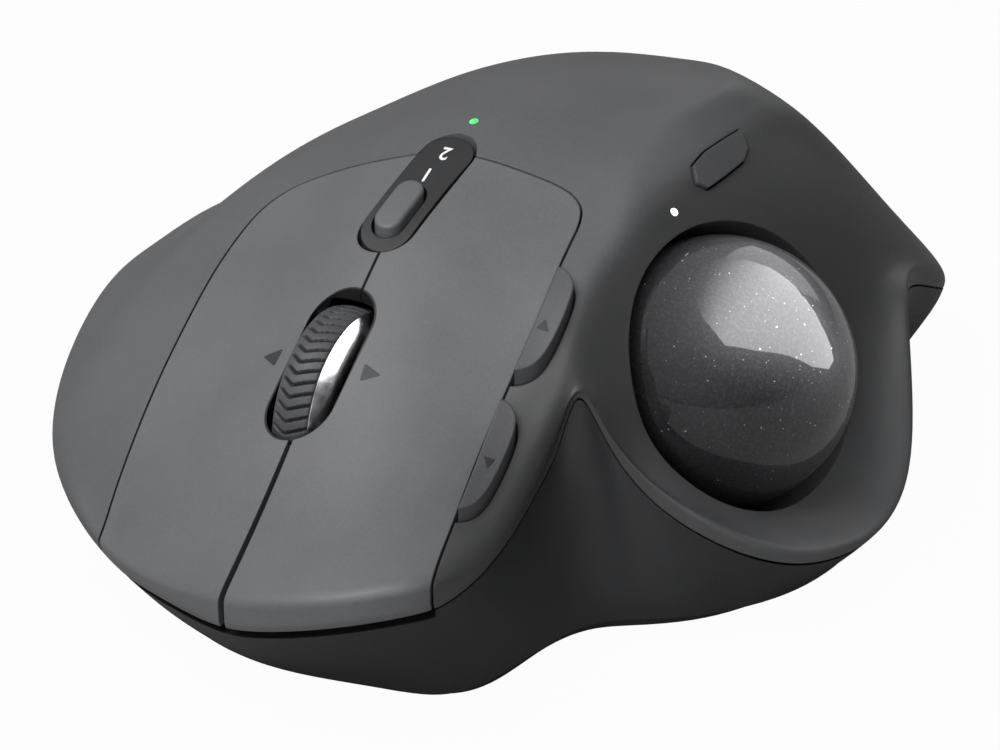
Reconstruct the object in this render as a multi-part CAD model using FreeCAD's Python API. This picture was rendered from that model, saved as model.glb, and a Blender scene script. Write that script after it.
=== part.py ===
import FreeCAD, Part
import math
import os

# Trackball mouse for the right hand, thumb-operated ball, on a tilting steel base.
# Frame: +Z up, z = 0 is the desk. -Y is the front (button tips), +Y the heel of the
# hand, +X the thumb side with the ball, -X the little-finger side. Millimetres.
# The user looks along -Y, so the left button lies at +X and the right one at -X.
# The outer skin is one B-spline surface over a net of rings; every casing piece is
# cut from it, so neighbouring pieces meet flush.

Vec = FreeCAD.Vector
ALONG_X, ALONG_Y, UP = Vec(1, 0, 0), Vec(0, 1, 0), Vec(0, 0, 1)


def unit(vector):
    result = Vec(vector.x, vector.y, vector.z)
    result.normalize()
    return result


def across_axis(axis):
    """Unit vector square to axis, as near to +Y as it can be."""
    return unit(ALONG_Y - axis * axis.y)


# ---- driving dimensions -------------------------------------------------------------
HIGH = 60.0                       # a height above everything, for cutting prisms
SEAM = 0.30                       # gap of every seam between casing pieces
BALL_C = Vec(28.2, -2.4, 23.5)    # centre of the trackball
BALL_R = 17.0
RIM_AXIS = unit(Vec(0.872, -0.09, 0.483))   # axis of the ball opening
RIM_R = 18.2                      # radius of the ball opening
RIM_BACK = -2.6                   # inner face of the wall round it, along the axis
RIM_WALL_R, RIM_WALL_DEPTH = 22.0, 13.0
CUP_INNER_R, CUP_OUTER_R = 17.7, 19.1
BEARING_R = 1.25                  # three ceramic support balls
FLOOR_Z = 2.3                     # underside of the lower shell
FLOOR_T = 1.6                     # its thickness
PLATE_T = 1.2                     # steel base plate
PAD_T = 0.9                       # rubber pad under the plate
TILT_X, TILT_Z = -20.0, 3.3       # tilt hinge axis, along Y
TILT_DEG = 20.0                   # angle between the two underside facets
PIN_R = 0.6                       # tilt hinge pins
HINGE_YS = (-36.0, 24.0)          # where the two hinges start
KNUCKLE_R = 1.12                  # round part of the hinge lugs and ears
WALL_K = 0.95                     # cavity skin = outer skin scaled about WALL_C
WALL_C = Vec(-5.0, -3.0, 0.0)
CLEAR_K = 0.985                   # cavity scaled once more, to keep parts off the wall
WHEEL_C = Vec(-9.3, -31.4, 23.7)  # scroll wheel centre
WHEEL_R = 12.4
SLOT_A, SLOT_B, SLOT_R = (-9.3, -40.8), (-9.5, -31.0), 4.25   # wheel slot in plan
OVAL_A, OVAL_B, OVAL_R = (-9.6, -18.0), (-7.9, -5.9), 3.85    # device switch opening
BUTTON_GAP = 1.45                 # gap under the front edge of the main buttons
SIDE_PROUD = 1.5                  # side buttons stand above the skin
LEFT_SWITCH = (2.6, -45.2)        # click switches in plan
RIGHT_SWITCH = (-19.0, -43.9)
SHELL_BOSSES = [(10.0, 51.0), (-14.0, 48.0), (-12.0, 14.0)]
DECK_POST = (9.6, -47.0)
SCREWS = SHELL_BOSSES + [DECK_POST]
SCREW_BORE_R = 1.2
PORT_X = -6.0                     # middle of the charging port
SLIDER_X = -34.5                  # middle of the power slider, before tilting
PAIRING_C, PAIRING_AXIS = Vec(-7.3, 0.5, 49.0), unit(Vec(-0.12, -0.24, 0.96))
PRECISION_C, PRECISION_AXIS = Vec(20.5, 0.0, 42.8), unit(Vec(0.67, -0.21, 0.71))


# ---- rings of the outer skin, from the crown outwards and down to the underside -----
def ring(text):
    """Ring of points read from a table of x,y,z triples."""
    return [tuple(float(value) for value in point.split(",")) for point in text.split()]


RING_POINTS = 53
PARTING_RING, FOOT_RING = 13, 16  # places in SKIN
SKIN = [
    # crown point
    [(-8.51, -11.97, 44.91)] * RING_POINTS,
    # crown ring 1
    ring("""
-6.12,-11.98,44.89 -6.15,-11.67,45.01 -6.18,-11.36,45.13 -6.20,-11.04,45.26
-6.21,-10.69,45.40 -6.22,-10.29,45.57 -6.21,-9.89,45.75 -6.19,-9.37,45.97
-5.92,-8.54,46.31 -5.92,-7.99,46.54 -6.17,-7.62,46.71 -6.58,-7.07,46.92
-7.27,-6.53,47.08 -8.19,-6.31,47.08 -9.12,-6.62,46.85 -9.90,-7.22,46.52
-10.46,-8.00,46.13 -10.82,-8.82,45.76 -11.05,-9.55,45.45 -11.19,-10.21,45.18
-11.26,-10.79,44.95 -11.31,-11.33,44.74 -11.39,-11.84,44.53 -11.52,-12.37,44.30
-11.69,-12.99,44.03 -11.91,-13.76,43.68 -11.88,-14.59,43.37 -11.52,-15.18,43.22
-11.10,-15.63,43.13 -10.63,-16.04,43.07 -10.10,-16.44,43.00 -9.50,-16.70,42.98
-8.93,-16.90,42.96 -8.33,-17.06,42.94 -7.78,-17.14,42.92 -7.23,-17.11,42.94
-6.77,-17.03,42.97 -6.41,-16.91,43.00 -6.14,-16.72,43.07 -5.97,-16.44,43.17
-5.90,-16.06,43.32 -5.88,-15.46,43.57 -5.86,-14.92,43.79 -5.84,-14.38,44.00
-5.83,-13.97,44.16 -5.84,-13.66,44.28 -5.86,-13.44,44.36 -5.88,-13.26,44.43
-5.91,-13.08,44.49 -5.95,-12.89,44.56 -5.99,-12.68,44.64 -6.04,-12.46,44.72
-6.08,-12.22,44.80"""),
    # crown ring 2
    ring("""
-1.63,-12.04,44.50 -1.72,-11.19,44.87 -1.80,-10.32,45.23 -1.85,-9.40,45.59
-1.90,-8.42,45.97 -1.94,-7.30,46.40 -1.94,-6.15,46.84 -1.87,-4.71,47.39
-1.16,-2.38,48.17 -1.17,-0.87,48.75 -1.91,0.19,49.24 -3.09,1.72,49.81
-5.05,3.24,50.22 -7.66,3.87,50.10 -10.27,2.98,49.40 -12.46,1.31,48.43
-14.06,-0.86,47.36 -15.05,-3.16,46.37 -15.70,-5.20,45.51 -16.09,-7.02,44.79
-16.31,-8.66,44.16 -16.44,-10.15,43.59 -16.67,-11.57,42.98 -17.03,-13.06,42.28
-17.53,-14.79,41.39 -18.14,-16.96,40.24 -18.06,-19.26,39.28 -17.05,-20.92,38.95
-15.87,-22.21,38.80 -14.51,-23.36,38.71 -13.04,-24.48,38.56 -11.32,-25.22,38.56
-9.73,-25.79,38.48 -8.03,-26.25,38.32 -6.49,-26.47,38.19 -4.93,-26.36,38.15
-3.64,-26.12,38.14 -2.64,-25.77,38.18 -1.87,-25.24,38.33 -1.41,-24.45,38.66
-1.20,-23.37,39.18 -1.14,-21.68,40.02 -1.09,-20.15,40.73 -1.05,-18.65,41.42
-1.00,-17.50,41.92 -1.02,-16.64,42.31 -1.06,-16.03,42.59 -1.11,-15.53,42.83
-1.18,-15.06,43.06 -1.26,-14.54,43.33 -1.35,-13.97,43.60 -1.44,-13.37,43.89
-1.53,-12.73,44.19"""),
    # crown ring 3
    ring("""
3.39,-12.13,43.46 3.23,-10.66,44.13 3.10,-9.16,44.78 3.00,-7.59,45.43
2.89,-5.89,46.13 2.82,-3.96,46.91 2.82,-2.00,47.68 2.93,0.47,48.59
4.15,4.46,49.69 4.12,7.03,50.40 2.83,8.85,51.06 0.79,11.47,51.74
-2.59,14.09,51.94 -7.09,15.17,51.30 -11.56,13.63,50.14 -15.32,10.78,48.72
-18.05,7.06,47.28 -19.76,3.12,45.94 -20.87,-0.36,44.71 -21.55,-3.48,43.60
-21.92,-6.28,42.60 -22.16,-8.84,41.64 -22.55,-11.27,40.58 -23.17,-13.82,39.28
-24.03,-16.78,37.67 -25.07,-20.50,35.68 -24.93,-24.46,33.95 -23.20,-27.30,33.24
-21.17,-29.51,32.88 -18.84,-31.49,32.62 -16.30,-33.43,32.28 -13.35,-34.70,32.26
-10.61,-35.67,32.15 -7.69,-36.47,31.96 -5.05,-36.83,31.83 -2.38,-36.65,31.83
-0.17,-36.22,31.82 1.54,-35.62,31.86 2.86,-34.70,32.06 3.65,-33.35,32.58
4.01,-31.49,33.47 4.11,-28.59,35.02 4.21,-25.97,36.40 4.28,-23.39,37.73
4.36,-21.43,38.68 4.33,-19.96,39.40 4.27,-18.91,39.92 4.19,-18.06,40.36
4.08,-17.26,40.79 3.96,-16.37,41.27 3.82,-15.41,41.79 3.68,-14.39,42.33
3.54,-13.29,42.89"""),
    # crown ring 4
    ring("""
8.20,-12.23,42.31 7.99,-10.18,43.27 7.79,-8.09,44.23 7.63,-5.89,45.22
7.47,-3.50,46.28 7.37,-0.80,47.41 7.37,1.95,48.39 7.52,5.40,49.35
9.22,10.95,49.98 9.17,14.52,50.49 7.37,17.04,51.10 4.49,20.71,51.35
-0.27,24.38,50.72 -6.57,25.89,49.10 -12.81,23.73,47.67 -18.05,19.76,46.43
-21.87,14.58,45.16 -24.24,9.09,44.11 -25.80,4.23,43.03 -26.73,-0.12,41.97
-27.25,-4.03,40.91 -27.59,-7.60,39.76 -28.15,-10.99,38.35 -29.02,-14.55,36.60
-30.22,-18.68,34.53 -31.68,-23.86,31.90 -31.48,-29.38,29.30 -29.06,-33.36,28.01
-26.22,-36.45,27.09 -22.95,-39.22,26.36 -19.41,-41.94,25.83 -15.28,-43.72,25.95
-11.45,-45.08,25.93 -7.37,-46.18,25.88 -3.68,-46.68,25.98 0.04,-46.42,26.23
3.13,-45.82,26.27 5.52,-44.98,26.18 7.36,-43.69,26.19 8.46,-41.80,26.61
8.97,-39.21,27.62 9.11,-35.15,29.67 9.24,-31.50,31.69 9.35,-27.89,33.77
9.46,-25.15,35.31 9.42,-23.10,36.45 9.33,-21.63,37.26 9.22,-20.46,37.92
9.09,-19.35,38.56 8.92,-18.11,39.25 8.74,-16.78,39.97 8.58,-15.37,40.72
8.39,-13.85,41.50"""),
    # crown ring 5
    ring("""
12.09,-12.34,41.47 11.84,-9.84,42.64 11.59,-7.29,43.89 11.36,-4.58,45.21
11.14,-1.65,46.52 10.99,1.68,47.71 10.99,5.07,48.59 11.19,9.30,49.35
13.28,16.08,49.66 13.21,20.42,49.90 10.98,23.46,50.12 7.43,27.92,49.60
1.58,32.41,47.72 -6.15,34.28,45.07 -13.82,31.67,43.52 -20.25,26.84,42.39
-24.91,20.52,41.89 -27.80,13.81,41.49 -29.69,7.86,40.90 -30.83,2.53,40.20
-31.47,-2.27,39.43 -31.89,-6.65,38.42 -32.59,-10.79,36.93 -33.67,-15.14,34.87
-35.15,-20.19,32.62 -36.94,-26.52,29.27 -36.70,-33.27,25.58 -33.72,-38.13,23.56
-30.23,-41.93,21.81 -26.22,-45.33,20.56 -21.86,-48.68,20.22 -16.80,-50.87,20.76
-12.10,-52.54,21.01 -7.11,-53.88,21.37 -2.60,-54.47,21.95 1.96,-54.14,22.78
5.74,-53.41,23.24 8.66,-52.37,23.35 10.91,-50.80,23.31 12.25,-48.48,23.31
12.87,-45.31,23.63 13.05,-40.33,25.22 13.22,-35.86,27.45 13.35,-31.44,30.22
13.49,-28.08,32.41 13.43,-25.57,34.03 13.34,-23.78,35.16 13.21,-22.35,36.06
13.04,-21.00,36.90 12.85,-19.50,37.80 12.65,-17.89,38.71 12.48,-16.16,39.62
12.30,-14.32,40.54"""),
    # crown ring 6
    ring("""
15.08,-12.45,40.94 14.84,-9.62,42.21 14.54,-6.73,43.72 14.23,-3.67,45.29
13.93,-0.33,46.68 13.73,3.47,47.76 13.72,7.35,48.55 13.96,12.18,49.28
16.34,19.88,49.56 16.25,24.77,49.50 13.69,28.12,49.18 9.63,33.07,47.77
2.98,38.15,44.84 -5.82,40.31,41.57 -14.56,37.43,39.81 -21.88,32.01,38.84
-27.17,24.87,38.87 -30.43,17.27,39.07 -32.54,10.52,38.97 -33.82,4.46,38.62
-34.56,-0.99,38.19 -35.07,-5.97,37.45 -35.89,-10.68,36.13 -37.15,-15.61,34.01
-38.84,-21.32,31.42 -40.87,-28.48,27.21 -40.59,-36.12,22.36 -37.18,-41.62,19.35
-33.19,-45.91,16.98 -28.61,-49.78,15.16 -23.65,-53.60,14.95 -17.90,-56.13,15.77
-12.57,-58.02,17.17 -6.91,-59.54,18.63 -1.80,-60.18,19.97 3.36,-59.80,21.32
7.65,-58.97,22.08 10.95,-57.80,22.54 13.50,-56.02,22.74 15.02,-53.39,22.63
15.72,-49.78,22.24 15.93,-44.13,22.72 16.12,-39.05,24.51 16.27,-34.04,27.42
16.42,-30.22,30.11 16.36,-27.38,32.16 16.26,-25.35,33.60 16.13,-23.74,34.72
15.96,-22.21,35.75 15.76,-20.52,36.82 15.56,-18.70,37.89 15.41,-16.76,38.94
15.26,-14.68,39.95"""),
    # shoulder
    ring("""
17.16,-12.52,40.51 16.98,-9.49,41.71 16.69,-6.40,43.59 16.33,-3.12,45.51
15.97,0.48,46.74 15.69,4.58,47.66 15.62,8.77,48.43 15.82,14.00,49.25
18.37,22.33,49.58 18.27,27.60,49.40 15.47,31.12,48.62 11.06,36.36,46.47
3.89,41.78,42.98 -5.60,44.12,39.46 -15.02,41.07,37.51 -22.90,35.28,36.56
-28.59,27.63,36.69 -32.09,19.47,37.34 -34.35,12.21,37.54 -35.74,5.69,37.50
-36.55,-0.19,37.33 -37.10,-5.56,36.93 -38.04,-10.65,35.80 -39.46,-15.96,33.86
-41.33,-22.09,30.74 -43.51,-29.76,25.81 -43.17,-37.93,20.24 -39.44,-43.79,16.47
-35.08,-48.38,13.74 -30.09,-52.40,11.77 -24.57,-55.98,12.43 -18.38,-58.42,13.57
-12.77,-60.71,15.28 -6.73,-63.02,16.96 -1.23,-64.00,18.66 4.42,-64.00,20.28
8.98,-62.89,21.30 12.23,-61.34,22.05 14.82,-59.54,22.40 16.48,-57.03,22.21
17.21,-52.82,21.64 17.71,-46.55,21.52 17.90,-41.08,23.04 18.06,-35.69,25.60
18.22,-31.59,28.73 18.17,-28.52,31.01 18.08,-26.34,32.69 17.98,-24.60,34.01
17.84,-22.96,35.15 17.66,-21.15,36.30 17.49,-19.20,37.47 17.36,-17.12,38.59
17.26,-14.90,39.65"""),
    # below the shoulder
    ring("""
20.47,-12.49,37.75 20.58,-9.11,39.29 20.43,-5.63,41.10 20.40,-1.85,42.66
20.57,2.53,43.58 20.98,7.85,44.38 21.46,13.46,45.09 22.13,20.46,45.77
24.09,29.47,44.31 23.46,35.22,42.95 18.88,37.24,41.90 13.34,41.95,39.14
5.49,48.55,34.25 -5.16,51.81,30.04 -15.93,48.57,29.89 -24.83,41.56,29.75
-31.30,32.92,30.52 -35.44,23.89,31.81 -37.97,15.55,32.68 -39.34,8.00,33.25
-40.10,1.28,33.47 -40.61,-4.82,33.37 -41.50,-10.56,32.57 -42.95,-16.47,31.04
-44.67,-23.13,28.15 -46.09,-31.00,23.29 -44.98,-39.11,18.11 -40.85,-45.05,14.62
-36.13,-49.66,12.61 -30.72,-53.51,11.25 -24.91,-56.89,11.77 -18.56,-59.28,12.83
-12.83,-61.65,14.62 -6.68,-64.05,16.46 -1.07,-65.08,18.29 4.69,-65.09,20.01
9.34,-63.96,21.08 12.62,-62.41,21.90 15.22,-60.61,22.30 16.95,-58.16,22.01
17.80,-54.01,21.07 18.54,-47.81,20.47 18.64,-42.06,21.76 18.75,-36.46,24.09
18.96,-32.25,27.24 19.03,-29.15,30.03 19.24,-27.02,31.58 19.46,-25.31,32.60
19.66,-23.67,33.20 19.87,-21.82,33.72 20.04,-19.78,34.56 20.17,-17.55,35.57
20.31,-15.13,36.62"""),
    # wall and cradle, upper
    ring("""
24.86,-12.38,31.66 25.23,-8.48,33.29 25.64,-4.40,34.73 26.37,0.22,36.27
27.19,5.68,37.79 28.04,12.35,39.10 28.48,19.15,39.77 28.56,27.06,39.50
29.68,36.48,35.28 27.95,41.87,33.37 22.43,43.71,34.29 15.85,48.20,32.56
6.99,55.01,27.18 -4.78,58.59,22.50 -16.77,55.65,22.86 -26.64,47.52,23.43
-33.94,38.09,24.59 -38.98,28.56,26.14 -41.85,19.14,27.67 -43.09,10.40,29.05
-43.66,2.75,29.88 -43.92,-4.11,30.27 -44.62,-10.47,29.90 -46.16,-16.94,28.87
-47.62,-24.08,26.23 -48.12,-31.96,21.49 -46.06,-39.74,16.41 -41.43,-45.44,13.54
-36.37,-49.89,11.97 -30.80,-53.78,10.83 -24.97,-57.37,11.14 -18.61,-59.98,12.04
-12.86,-62.52,13.81 -6.66,-64.96,15.72 -1.01,-66.00,17.60 4.80,-66.01,19.35
9.48,-64.88,20.45 13.02,-63.33,21.29 15.88,-61.53,21.71 17.80,-59.07,21.40
18.55,-54.83,20.36 18.87,-48.44,19.50 18.93,-42.60,20.68 19.00,-36.89,22.94
19.19,-32.62,25.73 19.39,-29.54,28.65 19.82,-27.46,30.89 20.49,-25.86,31.89
21.61,-24.45,30.53 22.91,-22.77,28.72 23.87,-20.68,28.59 24.44,-18.21,29.24
24.72,-15.43,30.14"""),
    # wall and cradle, middle
    ring("""
30.00,-12.22,21.66 31.43,-7.61,22.11 32.69,-2.66,23.03 33.66,2.85,24.82
34.28,9.17,27.18 34.84,16.81,30.39 34.60,24.23,31.99 34.40,33.15,30.50
34.61,42.69,25.56 32.08,47.94,24.09 25.97,50.10,26.30 18.41,54.55,25.30
8.33,60.77,19.82 -4.54,62.68,15.75 -17.18,59.22,16.39 -27.89,51.67,17.28
-36.09,42.31,19.02 -41.73,32.18,21.43 -44.98,22.02,23.89 -46.31,12.46,26.20
-46.90,4.10,27.57 -47.08,-3.40,28.18 -47.50,-10.34,28.10 -48.48,-17.27,27.69
-49.34,-24.64,25.05 -49.26,-32.51,19.90 -46.57,-40.01,14.80 -41.56,-45.49,12.32
-36.33,-49.80,11.13 -30.75,-53.66,10.39 -24.94,-57.32,10.71 -18.60,-59.96,11.56
-12.86,-62.52,12.95 -6.66,-64.96,14.56 -1.01,-66.00,16.42 4.80,-66.01,18.22
9.48,-64.88,19.38 13.02,-63.33,20.21 15.88,-61.53,20.70 17.80,-59.08,20.48
18.56,-54.95,19.63 18.89,-48.68,18.90 18.93,-42.80,19.93 18.94,-37.06,22.08
19.18,-32.83,24.67 19.39,-29.76,27.71 19.79,-27.65,31.01 20.77,-26.15,31.95
22.95,-25.08,27.69 25.34,-23.59,23.20 26.87,-21.40,22.05 27.93,-18.75,21.52
28.85,-15.68,21.31"""),
    # wall and cradle floor
    ring("""
38.23,-12.07,9.04 40.21,-6.39,7.18 41.78,-0.34,7.45 42.59,6.25,9.80
42.16,13.32,15.50 40.66,20.89,22.49 38.63,27.78,25.47 38.48,37.55,23.44
38.16,47.20,19.22 35.28,52.61,17.80 29.02,55.54,18.74 20.58,59.86,17.55
9.18,64.36,14.07 -4.42,64.71,12.27 -17.42,61.25,12.44 -28.48,53.63,13.94
-37.12,44.32,16.12 -43.27,34.20,18.77 -46.86,23.75,21.76 -48.31,13.74,24.72
-49.05,5.01,26.31 -49.38,-2.85,26.84 -49.59,-10.19,26.87 -49.92,-17.41,26.92
-49.99,-24.82,24.08 -49.30,-32.57,18.37 -46.40,-39.99,13.04 -41.36,-45.36,11.00
-36.20,-49.62,10.17 -30.66,-53.49,9.82 -24.91,-57.21,10.11 -18.59,-59.93,10.91
-12.86,-62.52,12.05 -6.66,-64.96,13.49 -1.01,-66.00,15.33 4.80,-66.01,17.16
9.48,-64.88,18.36 13.02,-63.33,19.19 15.88,-61.53,19.71 17.79,-59.08,19.58
18.54,-54.99,18.91 18.85,-48.77,18.39 18.85,-42.88,19.31 18.91,-37.21,21.32
19.03,-32.93,23.75 19.26,-29.91,26.23 19.61,-27.80,30.72 20.91,-26.47,32.05
24.18,-25.78,24.68 28.01,-24.59,19.22 31.87,-22.73,16.89 34.47,-19.89,13.95
36.19,-16.27,11.26"""),
    # lip
    ring("""
48.61,-11.92,9.21 50.54,-4.92,7.43 51.39,2.32,7.39 50.71,9.65,10.58
47.49,16.46,18.03 43.50,23.20,25.82 40.89,30.02,26.10 39.43,38.74,22.24
39.55,49.02,15.90 37.38,55.66,12.77 31.41,59.75,13.23 22.25,63.92,12.46
9.71,66.60,10.46 -4.36,65.63,10.07 -17.46,61.67,10.51 -28.81,54.72,12.03
-37.87,45.77,14.00 -44.31,35.56,16.30 -48.05,24.84,19.02 -49.45,14.48,21.83
-50.06,5.46,23.55 -50.20,-2.62,24.40 -50.18,-10.09,24.65 -50.22,-17.36,24.57
-49.86,-24.74,21.48 -48.69,-32.34,15.90 -45.62,-39.60,10.97 -40.79,-44.96,9.50
-35.91,-49.33,9.16 -30.58,-53.32,9.30 -24.86,-57.03,9.60 -18.59,-59.87,10.36
-12.86,-62.52,11.31 -6.66,-64.96,12.59 -1.01,-66.00,14.42 4.80,-66.01,16.28
9.48,-64.88,17.52 13.02,-63.33,18.33 15.88,-61.53,18.89 17.78,-59.07,18.81
18.49,-54.97,18.25 18.68,-48.62,17.82 18.75,-42.85,18.65 18.77,-37.19,20.58
18.84,-32.95,22.90 19.03,-29.95,25.03 19.39,-27.87,29.36 20.54,-26.54,32.46
24.04,-26.01,25.08 30.71,-25.71,19.63 37.97,-24.44,15.91 42.97,-21.45,13.09
46.39,-17.15,10.90"""),
    # parting line
    ring("""
47.99,-11.74,7.35 49.45,-4.76,5.55 49.98,2.39,5.24 49.54,9.71,7.86
46.80,16.57,14.58 42.99,23.23,22.42 40.48,29.93,22.98 39.09,38.57,19.63
39.47,49.03,13.81 37.59,56.04,10.62 31.56,60.03,10.96 22.29,64.00,10.37
9.74,66.70,8.61 -4.34,65.79,8.34 -17.49,61.88,8.82 -28.98,55.24,10.03
-38.10,46.22,11.37 -44.37,35.63,12.67 -47.91,24.71,13.64 -49.10,14.27,14.33
-49.59,5.30,14.64 -49.67,-2.67,14.62 -49.57,-10.03,14.51 -49.48,-17.18,14.37
-48.93,-24.42,13.68 -47.53,-31.82,11.71 -44.52,-38.96,9.02 -40.07,-44.44,8.15
-35.50,-48.92,8.11 -30.38,-52.99,8.56 -24.77,-56.66,9.03 -18.60,-59.51,9.83
-12.92,-62.19,10.64 -6.75,-64.71,11.78 -1.10,-65.77,13.60 4.69,-65.72,15.48
9.38,-64.60,16.75 12.91,-63.07,17.56 15.76,-61.28,18.15 17.61,-58.78,18.10
18.06,-54.29,17.50 18.28,-48.07,17.16 18.38,-42.40,17.88 18.46,-36.92,19.71
18.51,-32.76,21.78 18.71,-29.81,23.45 19.16,-27.77,27.99 20.38,-26.51,32.24
23.62,-26.04,23.95 29.16,-25.48,17.50 36.18,-24.20,13.72 42.02,-21.33,10.89
45.92,-17.02,8.85"""),
    # lower shell, upper
    ring("""
47.26,-11.74,5.67 48.56,-4.79,4.43 48.86,2.33,4.06 48.23,9.58,5.44
45.45,16.28,10.16 41.86,22.80,16.26 39.44,29.26,17.51 37.98,37.53,15.42
38.49,47.90,10.65 36.79,54.96,7.97 30.92,58.96,8.30 21.92,63.10,7.88
9.57,65.97,6.67 -4.38,65.09,6.53 -17.41,61.19,6.84 -28.83,54.73,8.04
-37.91,45.81,9.35 -44.08,35.25,10.54 -47.56,24.40,11.37 -48.71,14.05,11.90
-49.17,5.17,12.14 -49.23,-2.70,12.12 -49.07,-9.97,12.02 -48.91,-17.04,11.92
-48.07,-24.14,11.13 -46.33,-31.28,9.39 -43.18,-38.10,7.09 -38.49,-42.99,6.20
-34.09,-47.15,5.86 -29.34,-51.11,5.91 -24.11,-54.73,6.08 -18.31,-57.70,6.88
-12.87,-60.33,7.73 -6.91,-62.77,8.75 -1.45,-63.62,10.20 4.10,-63.40,11.61
8.60,-62.27,12.60 11.99,-60.77,13.27 14.88,-59.36,13.85 16.91,-57.35,13.90
18.10,-54.18,13.59 18.73,-48.54,13.27 19.06,-43.07,13.81 19.49,-37.75,14.80
20.04,-33.76,16.16 20.78,-30.98,18.74 21.59,-29.01,22.38 22.84,-27.62,24.17
26.59,-27.20,15.73 30.93,-26.11,12.63 36.59,-24.37,9.95 41.63,-21.31,8.09
45.30,-17.00,6.79"""),
    # lower shell, middle
    ring("""
46.05,-11.83,3.93 47.52,-4.97,3.39 47.70,2.10,3.22 46.82,9.24,3.63
43.55,15.58,5.65 39.88,21.72,8.67 37.59,27.89,9.88 36.14,35.73,9.30
36.39,45.35,6.90 35.15,52.63,5.16 29.69,56.82,5.25 21.12,61.21,5.13
9.19,64.39,4.71 -4.48,63.64,4.71 -17.25,59.75,4.86 -28.44,53.40,5.81
-37.18,44.38,6.81 -42.87,33.64,7.69 -46.10,23.07,8.25 -47.32,13.20,8.58
-47.79,4.66,8.71 -47.80,-2.95,8.68 -47.56,-9.98,8.62 -47.32,-16.80,8.61
-46.19,-23.56,7.96 -44.14,-30.22,6.61 -41.09,-36.64,4.81 -36.39,-40.96,4.05
-32.18,-44.66,3.69 -27.95,-48.56,3.55 -23.33,-52.50,3.23 -17.95,-55.63,3.77
-12.75,-57.86,4.45 -7.10,-59.59,5.12 -1.98,-60.12,5.94 3.18,-59.69,6.70
7.42,-58.71,7.14 10.78,-57.71,7.32 13.67,-56.65,7.50 15.83,-55.14,7.58
17.47,-52.90,7.54 19.10,-48.79,7.35 19.85,-43.73,7.44 20.73,-38.65,7.76
21.62,-34.70,8.09 22.82,-32.04,9.07 24.29,-30.30,11.00 26.11,-29.01,12.28
28.63,-27.85,9.14 32.28,-26.41,7.29 36.30,-24.21,6.02 40.25,-21.07,5.17
43.67,-16.91,4.53"""),
    # foot of the wall
    ring("""
44.68,-11.91,2.57 46.41,-5.16,2.47 46.62,1.84,2.41 45.39,8.78,2.39
42.04,14.96,2.39 38.33,20.87,2.40 35.90,26.65,2.44 34.26,33.90,2.49
34.13,42.60,2.54 33.43,50.18,2.58 28.38,54.53,2.62 20.19,58.97,2.65
8.70,62.39,2.67 -4.60,61.83,2.66 -17.06,58.02,2.67 -27.83,51.33,2.86
-36.02,42.08,3.21 -41.24,31.49,3.63 -44.11,21.25,3.88 -45.20,11.88,4.04
-45.59,3.79,4.08 -45.55,-3.41,4.03 -45.26,-10.05,4.00 -45.01,-16.49,4.01
-43.87,-22.87,3.81 -41.77,-29.06,3.38 -38.79,-34.99,2.78 -34.52,-39.14,2.41
-30.57,-42.54,2.22 -26.59,-46.08,2.18 -22.39,-49.89,2.15 -17.53,-53.44,2.19
-12.61,-55.60,2.32 -7.25,-56.66,2.50 -2.48,-56.75,2.67 2.32,-56.17,2.77
6.35,-55.44,2.83 9.75,-55.05,2.84 12.75,-54.50,2.82 15.22,-53.71,2.76
17.21,-52.11,2.69 19.36,-48.79,2.64 20.73,-44.39,2.65 21.99,-39.50,2.73
23.14,-35.56,2.85 24.55,-32.87,2.98 26.14,-31.06,3.08 28.04,-29.69,3.11
30.17,-28.25,3.09 33.07,-26.48,3.02 36.12,-24.04,2.93 39.21,-20.84,2.83
42.19,-16.82,2.70"""),
    # tuck-under
    ring("""
42.76,-11.98,-1.50 44.41,-5.48,-1.50 44.56,1.31,-1.50 43.47,8.10,-1.50
40.31,14.18,-1.50 36.75,19.95,-1.50 34.24,25.42,-1.50 32.46,32.16,-1.50
31.89,39.87,-1.50 31.63,47.62,-1.50 27.13,52.36,-1.50 19.32,56.90,-1.50
8.20,60.36,-1.50 -4.74,59.79,-1.50 -16.85,56.09,-1.50 -27.18,49.14,-1.50
-34.86,39.80,-1.50 -39.70,29.47,-1.50 -42.27,19.58,-1.50 -43.27,10.68,-1.50
-43.59,3.01,-1.50 -43.50,-3.82,-1.50 -43.16,-10.11,-1.50 -42.84,-16.20,-1.50
-41.71,-22.22,-1.50 -39.66,-28.04,-1.50 -36.75,-33.54,-1.50 -32.91,-37.57,-1.50
-29.23,-40.80,-1.50 -25.50,-44.07,-1.50 -21.59,-47.69,-1.50 -17.07,-51.12,-1.50
-12.45,-53.25,-1.50 -7.38,-54.34,-1.50 -2.82,-54.46,-1.50 1.79,-54.00,-1.50
5.67,-53.32,-1.50 8.94,-52.89,-1.50 11.83,-52.33,-1.50 14.25,-51.62,-1.50
16.27,-50.23,-1.50 18.40,-47.10,-1.50 19.82,-42.99,-1.50 21.08,-38.33,-1.50
22.22,-34.58,-1.50 23.44,-31.91,-1.50 24.79,-30.07,-1.50 26.49,-28.69,-1.50
28.73,-27.41,-1.50 31.40,-25.70,-1.50 34.44,-23.45,-1.50 37.42,-20.45,-1.50
40.35,-16.66,-1.50"""),
]


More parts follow.
